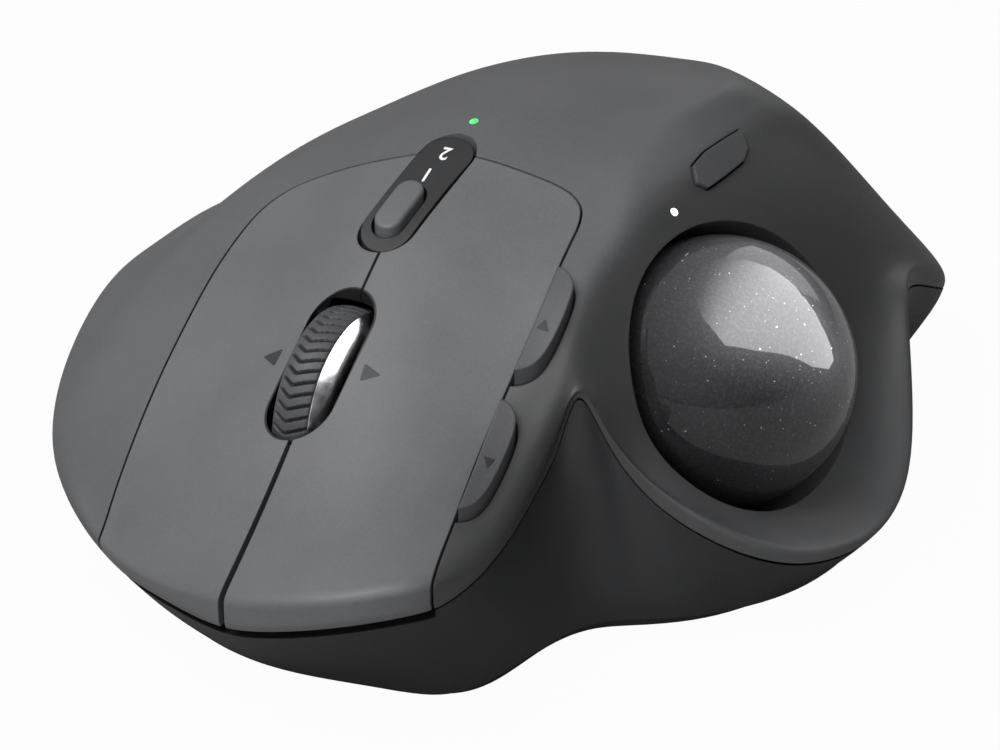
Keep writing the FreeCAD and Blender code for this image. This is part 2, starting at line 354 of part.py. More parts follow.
# ---- helpers ------------------------------------------------------------------------
def ring_surface(rings):
    """Cubic B-spline surface: clamped from first to last ring, periodic round them."""
    def third_way(near, far):
        return [tuple((2 * p[i] + q[i]) / 3 for i in range(3)) for p, q in zip(near, far)]

    rows = [rings[0], third_way(rings[0], rings[1])]
    rows += rings[1:-1]
    rows += [third_way(rings[-1], rings[-2]), rings[-1]]
    poles = [[Vec(*point) for point in row] for row in rows]
    count = len(rings)
    surface = Part.BSplineSurface()
    surface.buildFromPolesMultsKnots(
        poles, [4] + [1] * (count - 2) + [4], [1] * (RING_POINTS + 1),
        [float(i) for i in range(count)], [float(i) for i in range(RING_POINTS + 1)],
        False, True, 3, 3)
    return surface


def close_below(face):
    """Solid under a ring surface whose last ring is planar."""
    z_low = face.BoundBox.ZMin
    edge = [e for e in face.Edges
            if e.BoundBox.ZLength < 1e-3 and abs(e.BoundBox.ZMin - z_low) < 1e-2
            and e.Length > 50][0]
    cap = Part.Face(Part.Wire([edge]))
    flipped = cap.copy()
    flipped.reverse()
    for lid in (cap, flipped):
        solid = Part.Solid(Part.Shell([face, lid]))
        if not solid.isValid():
            solid.fix(1e-4, 1e-4, 1e-3)
        if solid.isValid():
            break
    if solid.Volume < 0:
        solid.reverse()
    return solid


def about(middle, half):
    """Range reaching half to each side of middle."""
    return middle - half, middle + half


def box(x, y, z):
    """Box over three (low, high) ranges."""
    return Part.makeBox(x[1] - x[0], y[1] - y[0], z[1] - z[0], Vec(x[0], y[0], z[0]))


def cylinder(start, radius, height, axis=UP):
    return Part.makeCylinder(radius, height, Vec(*start), axis)


def rounded_box(x, y, z, radius, axis="z"):
    """Box with its four edges along one axis rounded."""
    block = box(x, y, z)
    edges = []
    for edge in block.Edges:
        span = edge.Vertexes[1].Point - edge.Vertexes[0].Point
        along = abs(getattr(span, axis))
        if along > 1e-6 and abs(span.Length - along) < 1e-6:
            edges.append(edge)
    return block.makeFillet(radius, edges)


def polygon_face(points):
    return Part.Face(Part.makePolygon(points + points[:1]))


def polygon_prism(outline, z0=0.0, height=HIGH):
    return polygon_face([Vec(x, y, z0) for x, y in outline]).extrude(UP * height)


def capsule(start, end, radius, z0=0.0):
    """Vertical prism of a slot with round ends at start and end, up to HIGH."""
    a, b = Vec(*start, z0), Vec(*end, z0)
    along = unit(b - a) * radius
    across = Vec(-along.y, along.x, 0)
    wire = Part.Wire([Part.Arc(a + across, a - along, a - across).toShape(),
                      Part.makeLine(a - across, b - across),
                      Part.Arc(b - across, b + along, b + across).toShape(),
                      Part.makeLine(b + across, a + across)])
    return Part.Face(wire).extrude(UP * (HIGH - z0))


def spline_wire(chains):
    """Closed wire in z = 0 of interpolated chains joined end to end."""
    edges = []
    for chain in chains:
        points = [Vec(x, y, 0) for x, y in chain]
        if len(points) == 2:
            edges.append(Part.makeLine(points[0], points[1]))
        else:
            curve = Part.BSplineCurve()
            curve.interpolate(points)
            edges.append(curve.toShape())
    return Part.Wire(edges)


def inset_chains(chains, distance):
    """The same chains with every point moved inwards by distance, mitred."""
    points = []
    for chain in chains:
        points += chain[:-1]
    count = len(points)
    following = points[1:] + points[:1]
    area = sum(p[0] * q[1] - q[0] * p[1] for p, q in zip(points, following))
    sign = 1.0 if area > 0 else -1.0

    def normal(p, q):
        dx, dy = q[0] - p[0], q[1] - p[1]
        length = math.hypot(dx, dy)
        return -dy / length * sign, dx / length * sign

    shifted = []
    for i, (x, y) in enumerate(points):
        before, after = normal(points[i - 1], points[i]), normal(points[i], following[i])
        mitre = max(0.35, 1.0 + before[0] * after[0] + before[1] * after[1])
        shifted.append((x + distance * (before[0] + after[0]) / mitre,
                        y + distance * (before[1] + after[1]) / mitre))
    result, first = [], 0
    for chain in chains:
        result.append([shifted[(first + i) % count] for i in range(len(chain))])
        first += len(chain) - 1
    return result


def spline_prism(chains, inset=0.0):
    wire = spline_wire(inset_chains(chains, inset) if inset else chains)
    return Part.Face(wire).extrude(UP * HIGH)


def local_box(centre, axis, length, width, near, far):
    """Box centred on the ray from centre along axis, between two distances."""
    u = across_axis(axis)
    w = axis.cross(u)
    corner = centre + axis * near - u * (length / 2) - w * (width / 2)
    face = polygon_face([corner, corner + u * length, corner + u * length + w * width,
                         corner + w * width])
    return face.extrude(axis * (far - near))


def biggest(shape):
    return max(shape.Solids, key=lambda solid: solid.Volume)


def moved(shape, x, y, z):
    result = shape.copy()
    result.translate(Vec(x, y, z))
    return result


def on_facet(shape):
    """Shape turned from the level facet onto the angled one."""
    result = shape.copy()
    result.rotate(Vec(TILT_X, 0, FLOOR_Z), ALONG_Y, TILT_DEG)
    return result


# ---- outer skin and cavity ----------------------------------------------------------
def facet_wedge(lift):
    """Everything under the two underside facets, raised by lift."""
    z = FLOOR_Z + lift
    hinge_x = TILT_X - lift * math.tan(math.radians(TILT_DEG / 2))
    far_z = z + (hinge_x + 70) * math.tan(math.radians(TILT_DEG))
    section = [(60, -20), (60, z), (hinge_x, z), (-70, far_z), (-70, -20)]
    return polygon_face([Vec(x, -80, z) for x, z in section]).extrude(ALONG_Y * 160)


outer_raw = close_below(ring_surface(SKIN).toShape())
inner_raw = outer_raw.copy()
inner_raw.scale(WALL_K, WALL_C)
outer = outer_raw.cut(facet_wedge(0.0))
inner = inner_raw.cut(facet_wedge(FLOOR_T))

# a solid ring of wall round the ball opening carries the socket cup
ring_wall = cylinder(BALL_C + RIM_AXIS * RIM_BACK, RIM_WALL_R, RIM_WALL_DEPTH,
                     RIM_AXIS).common(outer)
shell = outer.cut(inner).fuse(ring_wall)
shell = shell.cut(cylinder(BALL_C + RIM_AXIS * (RIM_BACK - 30), RIM_R, 60.0, RIM_AXIS))

# ---- parting surface between the top shell and the lower shell -----------------------
PARTING_X, PARTING_Y, PARTING_Z = -8.5, -12.0, 9.0     # middle of the surface
# (scale of the parting ring about the middle, share of the dip)
PARTING_PROFILE = [(0.45, 1.0), (0.72, 1.0), (0.86, 0.5), (1.0, 0.0), (1.2, 0.0), (1.45, 0.0)]
CRADLE_FROM, CRADLE_TO = -14, 28                       # degrees round the middle
FADE_BEFORE, FADE_AFTER = 14, 10                       # degrees over which the dip fades
DIP, CRADLE_DIP = 1.0, 3.4                             # dip everywhere, extra at the cradle


def cradle_share(angle):
    if angle <= CRADLE_FROM:
        return max(0.0, 1 - (CRADLE_FROM - angle) / FADE_BEFORE)
    if angle < CRADLE_TO:
        return 1.0
    return max(0.0, 1 - (angle - CRADLE_TO) / FADE_AFTER)


def parting_tool(drop):
    """Solid below the parting surface: level outwards, dipping inwards under the cradle."""
    edge = SKIN[PARTING_RING][20:] + SKIN[PARTING_RING][:20]
    rings = [[(PARTING_X, PARTING_Y, PARTING_Z - drop)] * RING_POINTS]
    for scale, dip in PARTING_PROFILE:
        points = []
        for x, y, z in edge:
            dx, dy = x - PARTING_X, y - PARTING_Y
            z -= drop
            if dip:
                z -= dip * (DIP + CRADLE_DIP * cradle_share(math.degrees(math.atan2(dy, dx))))
                if scale < 0.5:
                    z = 0.5 * z + 0.5 * (PARTING_Z - drop)
            points.append((PARTING_X + dx * scale, PARTING_Y + dy * scale, z))
        rings.append(points)
    last = rings[-1]
    rings.append([(x, y, z - 10.0) for x, y, z in last])
    rings.append([(x, y, -30.0) for x, y, z in last])
    return close_below(ring_surface(rings).toShape())


below = parting_tool(0.0)
below_gap = parting_tool(SEAM)
top_blank = shell.cut(below)
low_blank = shell.common(below_gap)
inner_clear = inner_raw.copy()
inner_clear.scale(CLEAR_K, WALL_C)
inner_clear = inner_clear.cut(facet_wedge(FLOOR_T + 0.15))

# ---- button outlines in plan: chains of (x, y), each one a spline or a line ----------
PANEL = [
    [(-30.4, -72), (-30.4, -62), (-30.6, -55), (-31.3, -50), (-31.6, -44), (-31.8, -37),
     (-32.1, -30), (-32.4, -22), (-32.1, -16), (-31.0, -11.4), (-28.6, -8.5), (-24.6, -7.0),
     (-19.6, -6.4), (-12.1, -5.9)],
    [(-12.1, -5.9), (-4.4, -5.2)],
    [(-4.4, -5.2), (-1.0, -5.0), (3.6, -4.9), (7.4, -5.0), (9.7, -5.6), (11.2, -6.8),
     (11.9, -8.7), (12.1, -11.5), (12.4, -16.5), (12.8, -24), (12.9, -32), (13.3, -39.5),
     (14.7, -47.7), (16.8, -56.2), (17.7, -59.4), (19.2, -66), (20, -72)],
    [(20, -72), (-30.4, -72)]]
BACK_OUTLINE = [
    [(12.75, -16.6), (14.2, -16.9), (15.3, -17.9), (15.8, -19.6), (16.0, -22.4),
     (15.8, -25.6), (15.1, -27.7), (14.0, -28.9), (13.15, -29.4)],
    [(13.15, -29.4), (13.1, -24), (12.75, -16.6)]]
FORWARD_OUTLINE = [
    [(13.1, -32.9), (14.4, -32.9), (15.5, -33.8), (16.0, -35.4), (16.2, -38.0),
     (16.3, -41.2), (16.2, -43.9), (15.7, -46.1), (14.85, -47.4)],
    [(14.85, -47.4), (14.1, -43), (13.55, -38.6), (13.1, -32.9)]]
# gap between the two main buttons
SPLIT = [(-9.30, -17), (-8.95, -17), (-8.25, -30), (-8.6, -40), (-5.95, -72), (-7.0, -72),
         (-9.1, -40), (-8.6, -30)]

# ---- precision button, set in the cradle wall: a prism square to its own axis --------
BUTTON_C = Vec(21.1, 12.2, 44.7)
BUTTON_AXIS = unit(Vec(0.655, -0.12, 0.745))
BUTTON_U = across_axis(BUTTON_AXIS)
BUTTON_W = BUTTON_AXIS.cross(BUTTON_U)
BUTTON_HALF = 6.0                 # the prism reaches this far each way
BUTTON_CORNER_R = 0.45
BUTTON_OUTLINE = [                # x, y, z
    (19.1, 7.5, 45.4), (20.6, 5.6, 44.0), (22.0, 6.5, 43.1), (22.7, 10.5, 43.3),
    (23.3, 14.9, 43.6), (22.8, 17.4, 44.3), (20.9, 19.3, 46.2), (20.1, 15.0, 46.2),
    (19.3, 10.9, 46.0)]


def precision_prism(offset):
    corners = [Vec(*point) - BUTTON_C for point in BUTTON_OUTLINE]
    corners = [Vec(p.dot(BUTTON_U), p.dot(BUTTON_W), 0) for p in corners]
    wire = Part.makePolygon(corners + corners[:1])
    face = Part.Face(wire.makeOffset2D(offset) if offset else wire)
    prism = face.extrude(UP * (2 * BUTTON_HALF))
    prism = prism.makeFillet(BUTTON_CORNER_R, [
        e for e in prism.Edges
        if abs((e.Vertexes[1].Point - e.Vertexes[0].Point).z) > BUTTON_HALF])
    prism.translate(Vec(0, 0, -BUTTON_HALF))
    u, w, n, c = BUTTON_U, BUTTON_W, BUTTON_AXIS, BUTTON_C
    return prism.transformed(FreeCAD.Matrix(
        u.x, w.x, n.x, c.x, u.y, w.y, n.y, c.y, u.z, w.z, n.z, c.z, 0, 0, 0, 1))


# ---- shells -------------------------------------------------------------------------
def side_opening(outline, y):
    return spline_prism(outline, -0.28).fuse(box(x=(11.0, 14.0), y=y, z=(0, HIGH)))


def top_shell():
    top = top_blank.cut(spline_prism(PANEL))
    top = top.cut(side_opening(BACK_OUTLINE, y=(-28.6, -17.2)))
    top = top.cut(side_opening(FORWARD_OUTLINE, y=(-46.6, -33.2)))
    top = top.cut(capsule(OVAL_A, OVAL_B, OVAL_R, z0=30))
    top = top.cut(precision_prism(0.0))
    top = top.cut(cylinder(PAIRING_C - PAIRING_AXIS * 6, 0.62, 10, PAIRING_AXIS))
    top = top.cut(cylinder(PRECISION_C - PRECISION_AXIS * 5, 0.55, 10, PRECISION_AXIS))
    for x, y in SHELL_BOSSES:
        boss = cylinder((x, y, 14.2), radius=2.7, height=50)
        top = top.fuse(boss.common(moved(outer, 0, -0.6, -1.0)))
        top = top.cut(cylinder((x, y, 0), SCREW_BORE_R, height=20))
    return biggest(top)


# the lower shell is cut down in front of this outline, under the main buttons
FRONT_SIDE_X = -31.6
FRONT = [(FRONT_SIDE_X, -80), (FRONT_SIDE_X, -44), (0, -50), (16.2, -55.0), (18.9, -62.0),
         (26, -80)]
POCKET_HALF, POCKET_TOP, POCKET_WALL = 4.0, 6.2, 1.2   # hinge pockets
POCKET_START, POCKET_END = -0.4, 12.4                  # along Y from the hinge start


def lower_shell():
    low = low_blank.cut(polygon_prism(FRONT).cut(parting_tool(BUTTON_GAP)))
    low = low.cut(box(x=(-60, FRONT_SIDE_X), y=(-80, -40), z=(0, HIGH)))
    for y in HINGE_YS:
        block = box(x=about(TILT_X, POCKET_HALF + POCKET_WALL),
                    y=(y + POCKET_START - POCKET_WALL, y + POCKET_END + POCKET_WALL),
                    z=(2.6, POCKET_TOP + POCKET_WALL))
        low = low.fuse(block.cut(facet_wedge(0.0)))
        low = low.cut(box(x=about(TILT_X, POCKET_HALF),
                          y=(y + POCKET_START, y + POCKET_END), z=(0, POCKET_TOP)))
        lug = cylinder((TILT_X, y + 2.8, TILT_Z), KNUCKLE_R, 6.4, ALONG_Y)
        low = low.fuse(lug.fuse(box(x=about(TILT_X, 1.1), y=(y + 2.8, y + 9.2),
                                    z=(TILT_Z, 6.3))))
        low = low.cut(cylinder((TILT_X, y + 2, TILT_Z), PIN_R + 0.08, 8, ALONG_Y))
    for x, y in SCREWS:
        low = low.fuse(cylinder((x, y, 3.0), radius=2.6, height=10.8))
        low = low.cut(cylinder((x, y, 0), SCREW_BORE_R, height=30))
        low = low.cut(cylinder((x, y, 0), radius=2.15, height=4.9))
    # charging socket mouth, ball push-out hole, power slider slot
    low = low.cut(box(x=about(PORT_X, 4.2), y=(56, 72), z=(4.4, 7.6)))
    low = low.cut(cylinder((BALL_C.x, BALL_C.y, 0), radius=4.0, height=4.2))
    low = low.cut(on_facet(rounded_box(x=about(SLIDER_X, 1.8), y=(-5.3, 5.3), z=(1.0, 5.0),
                                       radius=1.2)))
    return biggest(low)


# ---- main buttons -------------------------------------------------------------------
def main_button_plates():
    """The panel skin split in two: the -X half, then the +X half."""
    plate = outer.common(spline_prism(PANEL, SEAM)).cut(moved(outer, 0, 1.7, -2.0))
    plate = plate.cut(below).cut(polygon_prism(SPLIT)).cut(capsule(SLOT_A, SLOT_B, SLOT_R))
    plate = plate.cut(capsule(OVAL_A, OVAL_B, OVAL_R))
    wheel_room = cylinder(WHEEL_C - Vec(4.2, 0, 0), WHEEL_R + 0.75, 8.4, ALONG_X)
    plate = plate.cut(wheel_room.common(moved(outer, 0, 0, -0.55)))
    halves = sorted([s for s in plate.Solids if s.Volume > 200], key=lambda s: s.CenterOfMass.x)
    return halves[0], halves[-1]


def with_plunger(plate, switch):
    """Plate with a rib that reaches down to its switch."""
    rib = box(x=about(switch[0], 1.0), y=about(switch[1], 1.5), z=(16.0, HIGH))
    return biggest(plate.fuse(rib.common(moved(outer, 0, 0.2, -1.2))))


def left_button():
    return with_plunger(main_button_plates()[1], LEFT_SWITCH)


def right_button():
    return with_plunger(main_button_plates()[0], RIGHT_SWITCH)


# ---- deck under the buttons ---------------------------------------------------------
DECK_T = 1.3
DECK_X = (-30.0, -25.0, -19.0, -13.8, -4.5, 2.0, 8.0, 12.0)
# y, drop of the deck below the skin, skin height at each DECK_X
DECK_TABLE = [
    (-56.0, 4.8, (10.0, 11.6, 13.5, 15.6, 18.7, 20.2, 21.0, 21.3)),
    (-52.0, 4.6, (12.0, 13.9, 16.6, 18.6, 21.2, 22.2, 22.4, 22.2)),
    (-46.0, 4.4, (16.0, 18.5, 21.2, 22.9, 24.8, 25.2, 24.5, 23.4)),
    (-40.0, 4.2, (21.2, 23.1, 25.4, 27.0, 28.4, 28.2, 26.7, 25.1)),
    (-34.0, 4.0, (25.7, 27.3, 29.4, 30.9, 32.0, 31.3, 29.4, 27.8)),
    (-28.0, 3.8, (29.2, 30.9, 33.0, 34.7, 35.6, 34.5, 32.6, 31.2)),
    (-22.0, 3.7, (32.1, 34.0, 36.3, 38.1, 38.9, 37.7, 36.0, 35.0)),
    (-16.0, 3.7, (34.8, 36.6, 39.1, 41.0, 41.9, 40.7, 39.3, 38.5)),
    (-11.0, 3.7, (36.8, 38.7, 41.2, 43.1, 44.1, 43.1, 41.8, 41.0)),
    (-6.0, 3.7, (38.5, 40.5, 43.1, 44.9, 45.6, 45.2, 44.0, 43.3))]
DECK_EDGE = [
    (-27.5, -55.5), (-28.6, -50), (-29.2, -44), (-29.5, -30), (-29.6, -20), (-28.8, -13),
    (-26.5, -10), (-21, -8.6), (-12, -8), (-4, -7.4), (5, -7.2), (8.6, -8), (9.8, -10.5),
    (10.2, -24), (10.3, -39), (10.6, -46), (11.2, -51), (11.4, -55.5)]
# over the left and right click switches and the wheel encoder: x range, y range
DECK_WINDOWS = [(about(LEFT_SWITCH[0], 3.6), (-52.5, -38.4)),
                (about(RIGHT_SWITCH[0], 3.6), (-51.0, -37.0))]
ENCODER_WINDOW = ((-18.8, -14.0), (-36.6, -26.2))


def button_deck():
    sheet = Part.BSplineSurface()
    sheet.interpolate([[Vec(x, y, height - drop) for x, height in zip(DECK_X, heights)]
                       for y, drop, heights in DECK_TABLE])
    deck = sheet.toShape().extrude(UP * -DECK_T)
    deck = deck.common(polygon_prism(DECK_EDGE))
    deck = deck.cut(capsule((-9.3, -44.0), (-9.5, -26.0), 6.6))
    for x, y in DECK_WINDOWS:
        deck = deck.cut(box(x, y, z=(0, HIGH)))
    deck = deck.cut(capsule(OVAL_A, OVAL_B, 2.6))
    deck = deck.cut(box(*ENCODER_WINDOW, z=(0, HIGH)))
    deck = deck.common(inner_clear)
    post = cylinder((*DECK_POST, 14.2), radius=2.0, height=4.7)
    return biggest(deck.fuse(post.cut(cylinder((*DECK_POST, 10), SCREW_BORE_R, height=8))))


# ---- side and precision buttons -----------------------------------------------------
def side_button(outline, stem):
    button = spline_prism(outline).common(moved(outer, 0.2, -0.5, SIDE_PROUD))
    button = biggest(button.cut(moved(outer, -0.2, 0.7, -2.2)))
    return biggest(button.fuse(stem.common(moved(outer, 0, 0.2, -1.0))))


def back_button():
    return side_button(BACK_OUTLINE, box(x=(13.7, 15.0), y=(-23.8, -21.8), z=(28.0, HIGH)))


def forward_button():
    return side_button(FORWARD_OUTLINE, box(x=(14.2, 15.4), y=(-40.0, -38.0), z=(19.6, HIGH)))


def precision_button():
    button = precision_prism(-0.22).common(outer.copy().translated(BUTTON_AXIS * 0.45))
    button = button.cut(outer.copy().translated(BUTTON_AXIS * -2.2))
    return biggest(button.fuse(cylinder(BUTTON_C - BUTTON_AXIS * 4.2, 1.1, 3.4, BUTTON_AXIS)))


# ---- device switch: its faces follow cylinders along X -------------------------------
BEZEL_Y, BEZEL_Z, BEZEL_R = 16.2, -28.0, 78.0
PILL_A, PILL_B, PILL_R = (-9.75, -17.4), (-9.2, -13.4), 1.85
PILL_TOP_R = BEZEL_R + 1.0


def bezel_cylinder(radius):
    return cylinder((-25, BEZEL_Y, BEZEL_Z), radius, 35, ALONG_X)


def switch_bezel():
    bezel = capsule(OVAL_A, OVAL_B, OVAL_R - 0.46, z0=30).common(bezel_cylinder(BEZEL_R))
    bezel = bezel.cut(bezel_cylinder(75.6))
    return biggest(bezel.cut(capsule(PILL_A, PILL_B, PILL_R + 0.4, z0=30)))


def channel_button():
    pill = capsule(PILL_A, PILL_B, PILL_R, z0=30).common(bezel_cylinder(PILL_TOP_R))
    pill = biggest(pill.cut(bezel_cylinder(75.2)))
    # the fillet can fail on the curved top rim; the edge then stays sharp
    try:
        rim = [e for e in pill.Edges
               if all(abs(math.hypot(v.Point.y - BEZEL_Y, v.Point.z - BEZEL_Z)
                          - PILL_TOP_R) < 1e-3 for v in e.Vertexes)]
        pill = pill.makeFillet(0.45, rim)
    except Exception:
        pass
    return pill.fuse(box(x=(-10.1, -8.9), y=(-16.4, -15.0), z=(38.5, 42.5)))


# ---- lamps --------------------------------------------------------------------------
def pairing_light():
    rod = cylinder(PAIRING_C - PAIRING_AXIS * 5, 0.58, 10, PAIRING_AXIS)
    return biggest(rod.common(outer))


def precision_light():
    rod = cylinder(PRECISION_C - PRECISION_AXIS * 2.9, 0.5, 10, PRECISION_AXIS)
    return biggest(rod.common(outer))


# ---- trackball and its socket -------------------------------------------------------
CUP_GAP = 0.15                    # between the flange and the wall ring
FLANGE_DEPTH = 1.6                # back of the flange behind the wall ring
RIM_U = across_axis(RIM_AXIS)
BEARING_AXES = [unit(RIM_U * side - RIM_AXIS * 0.60 + Vec(0, 0, -0.45))
                for side in (0.80, -0.80)] + [unit(Vec(-0.92, 0.05, 0.25))]
BEARING_CENTRES = [BALL_C + axis * (BALL_R + BEARING_R + 0.03) for axis in BEARING_AXES]
SENSOR_AXIS = unit(Vec(-0.80, 0.35, -0.48))


def trackball():
    return Part.makeSphere(BALL_R, BALL_C)


def ball_cup():
    hollow = Part.makeSphere(CUP_INNER_R, BALL_C)
    half = cylinder(BALL_C - RIM_AXIS * 40, 40, 40 + RIM_BACK - CUP_GAP, RIM_AXIS)
    cup = Part.makeSphere(CUP_OUTER_R, BALL_C).cut(hollow).common(half)
    flange = cylinder(BALL_C + RIM_AXIS * (RIM_BACK - FLANGE_DEPTH), 21.6,
                      FLANGE_DEPTH - CUP_GAP, RIM_AXIS)
    flange = flange.cut(cylinder(BALL_C + RIM_AXIS * (RIM_BACK - 3), CUP_INNER_R + 0.4, 6,
                                 RIM_AXIS))
    cup = cup.fuse(flange).common(inner_clear).cut(hollow)
    for axis, centre in zip(BEARING_AXES, BEARING_CENTRES):
        seat = cylinder(BALL_C + axis * (CUP_INNER_R + 0.2), 2.3, 2.2, axis)
        cup = cup.fuse(seat.common(inner_clear)).cut(hollow)
        cup = cup.cut(Part.makeSphere(BEARING_R + 0.04, centre))
    cup = cup.cut(cylinder((BALL_C.x, BALL_C.y, 0), radius=3.6, height=10))
    return biggest(cup.cut(cylinder(BALL_C + SENSOR_AXIS * 16, 2.6, 6, SENSOR_AXIS)))


def ball_bearings():
    return Part.makeCompound([Part.makeSphere(BEARING_R, c) for c in BEARING_CENTRES])


def sensor_lens():
    return cylinder(BALL_C + SENSOR_AXIS * 18.1, 2.5, 1.2, SENSOR_AXIS).fuse(
        cylinder(BALL_C + SENSOR_AXIS * 19.3, 3.4, 1.0, SENSOR_AXIS))


def optical_sensor():
    return local_box(BALL_C, SENSOR_AXIS, length=9.0, width=7.5, near=20.35, far=22.6)


def sensor_board():
    return local_box(BALL_C, SENSOR_AXIS, length=14.0, width=12.0, near=22.65, far=23.65)


# ---- scroll wheel -------------------------------------------------------------------
WHEEL_X, WHEEL_Y, WHEEL_Z = WHEEL_C
AXLE_R = 1.0
HUB_HOLES, HUB_HOLE_R, HUB_HOLE_PITCH_R = 6, 1.5, 5.6
CARRIER_OUT, CARRIER_IN = 5.8, 4.6     # faces of the carrier rails, each side of the wheel
CARRIER_Y, CARRIER_Z = (-42.8, -20.0), (11.5, 14.4)
CARRIER_END_T = 1.3
CARRIER_AXIS_Z = 12.9                  # axis along Y on which the carrier tilts
FRAME_Y, FRAME_Z = (-45.2, -17.6), 9.1


def disc(x0, x1, radius):
    """Disc on the wheel axis between two distances from the wheel centre."""
    return cylinder((WHEEL_X + x0, WHEEL_Y, WHEEL_Z), radius, x1 - x0, ALONG_X)


def wheel_turning(segments):
    """Profile of (x, radius) lines and three-point arcs turned about the wheel axis."""
    edges = []
    for segment in segments:
        points = [Vec(x, radius, 0) for x, radius in segment]
        edges.append(Part.makeLine(*points) if len(points) == 2 else Part.Arc(*points).toShape())
    solid = Part.Face(Part.Wire(edges)).revolve(Vec(0, 0, 0), ALONG_X, 360)
    solid.translate(WHEEL_C)
    return solid


def wheel_hub():
    hub = disc(-2.6, 1.85, 9.9).cut(disc(-3.0, -1.2, 8.6)).cut(disc(1.0, 3.0, 8.2))
    hub = hub.fuse(disc(-3.0, 2.6, 2.4))
    for i in range(HUB_HOLES):
        angle = math.radians(360 / HUB_HOLES * i)
        hub = hub.cut(cylinder((WHEEL_X - 4, WHEEL_Y + HUB_HOLE_PITCH_R * math.cos(angle),
                                WHEEL_Z + HUB_HOLE_PITCH_R * math.sin(angle)),
                               HUB_HOLE_R, 8, ALONG_X))
    return hub.cut(disc(-4, 4, AXLE_R + 0.02))


def wheel_tyre():
    return wheel_turning([[(-3.0, 9.92), (1.8, 9.92)], [(1.8, 9.92), (1.8, 12.1)],
                          [(1.8, 12.1), (-0.5, WHEEL_R), (-3.0, 11.7)],
                          [(-3.0, 11.7), (-3.0, 9.92)]])


def wheel_trim_ring():
    return wheel_turning([[(1.92, 9.0), (3.45, 9.0)],
                          [(3.45, 9.0), (3.1, 10.9), (1.92, 12.15)],
                          [(1.92, 12.15), (1.92, 9.0)]])


def wheel_axle():
    return disc(-5.6, 5.5, AXLE_R)


def wheel_carrier():
    sides = [(WHEEL_X - CARRIER_OUT, WHEEL_X - CARRIER_IN),
             (WHEEL_X + CARRIER_IN, WHEEL_X + CARRIER_OUT)]
    front, back = CARRIER_Y
    carrier = box(sides[0], CARRIER_Y, CARRIER_Z).fuse(box(sides[1], CARRIER_Y, CARRIER_Z))
    for y in ((front, front + CARRIER_END_T), (back - CARRIER_END_T, back)):
        carrier = carrier.fuse(box(about(WHEEL_X, CARRIER_OUT), y, CARRIER_Z))
    for x in sides:
        carrier = carrier.fuse(rounded_box(x, about(WHEEL_Y, 3.2), (CARRIER_Z[0], 26.0),
                                           radius=1.0, axis="x"))
    for y in (-44.9, -20.1):
        carrier = carrier.fuse(cylinder((WHEEL_X, y, CARRIER_AXIS_Z), 0.8, 2.2, ALONG_Y))
    return carrier.cut(disc(-8, 8, AXLE_R + 0.05))


def wheel_encoder():
    body = rounded_box(x=(WHEEL_X - 8.4, WHEEL_X - 5.9), y=about(WHEEL_Y, 3.4),
                       z=(17.6, 25.0), radius=0.6, axis="x")
    return body.cut(disc(-9, -5, 1.6))


def wheel_frame():
    front, back = FRAME_Y
    frame = box(about(WHEEL_X, 5.9), FRAME_Y, z=(FRAME_Z, FRAME_Z + 1.0))
    frame = frame.cut(box(about(WHEEL_X, 4.0), y=(-39, -24), z=(9, 11)))
    for y in ((front, front + 2.0), (back - 2.0, back)):
        frame = frame.fuse(box(about(WHEEL_X, 2.2), y, z=(FRAME_Z, 14.6)))
    return frame.cut(cylinder((WHEEL_X, -50, CARRIER_AXIS_Z), 0.85, 40, ALONG_Y))


# ---- electronics --------------------------------------------------------------------
BOARD_Z, BOARD_T = 6.4, 1.2
SWITCH_Z = BOARD_Z + BOARD_T + 0.05    # underside of the switches on the main board
BOARD_OUTLINE = [
    (-25.0, -41.0), (-20.0, -50.0), (-2.0, -52.0), (6.2, -52.0), (6.2, -43.6), (10.4, -42.2),
    (10.4, -22.0), (6.0, -4.0), (2.0, 9.5), (-13.0, 9.5), (-13.0, -19.0), (-14.2, -20.0),
    (-14.2, -38.6), (-25.0, -38.6)]


def main_board():
    return polygon_prism(BOARD_OUTLINE, BOARD_Z, BOARD_T)


def microswitch(x, y):
    return rounded_box(about(x, 2.9), about(y, 6.4), z=(SWITCH_Z, 13.6), radius=0.5).fuse(
        rounded_box(about(x, 0.7), about(y, 0.9), z=(13.5, 14.6), radius=0.3))


def left_click_switch():
    return microswitch(*LEFT_SWITCH)


def right_click_switch():
    return microswitch(*RIGHT_SWITCH)


def wheel_click_switch():
    y = -20.8
    return rounded_box(about(WHEEL_X, 2.5), about(y, 2.4), z=(SWITCH_Z, 8.3), radius=0.4).fuse(
        cylinder((WHEEL_X, y, 8.2), radius=1.0, height=0.28))


def side_switches():
    back = rounded_box(x=(12.1, 16.0), y=(-24.6, -20.8), z=(24.4, 27.0), radius=0.3)
    front = rounded_box(x=(12.1, 16.2), y=(-41.0, -37.0), z=(16.0, 18.6), radius=0.3)
    return Part.makeCompound([
        back.fuse(cylinder((14.4, -22.8, 26.9), radius=0.9, height=0.5)),
        front.fuse(cylinder((14.8, -39.0, 18.5), radius=0.9, height=0.5))])


def side_board():
    x = (10.9, 11.9)
    return box(x, y=(-42.0, -19.0), z=(9.0, 20.0)).fuse(box(x, y=(-27.0, -19.0), z=(19.0, 27.5)))


def charging_port():
    port = rounded_box(about(PORT_X, 3.9), y=(53.4, 61.0), z=(4.8, 7.25), radius=0.7, axis="y")
    port = port.cut(rounded_box(about(PORT_X, 3.5), y=(54.4, 61.5), z=(5.2, 6.85),
                                radius=0.5, axis="y"))
    return port.fuse(box(about(PORT_X, 2.8), y=(54.0, 59.6), z=(5.75, 6.25)))


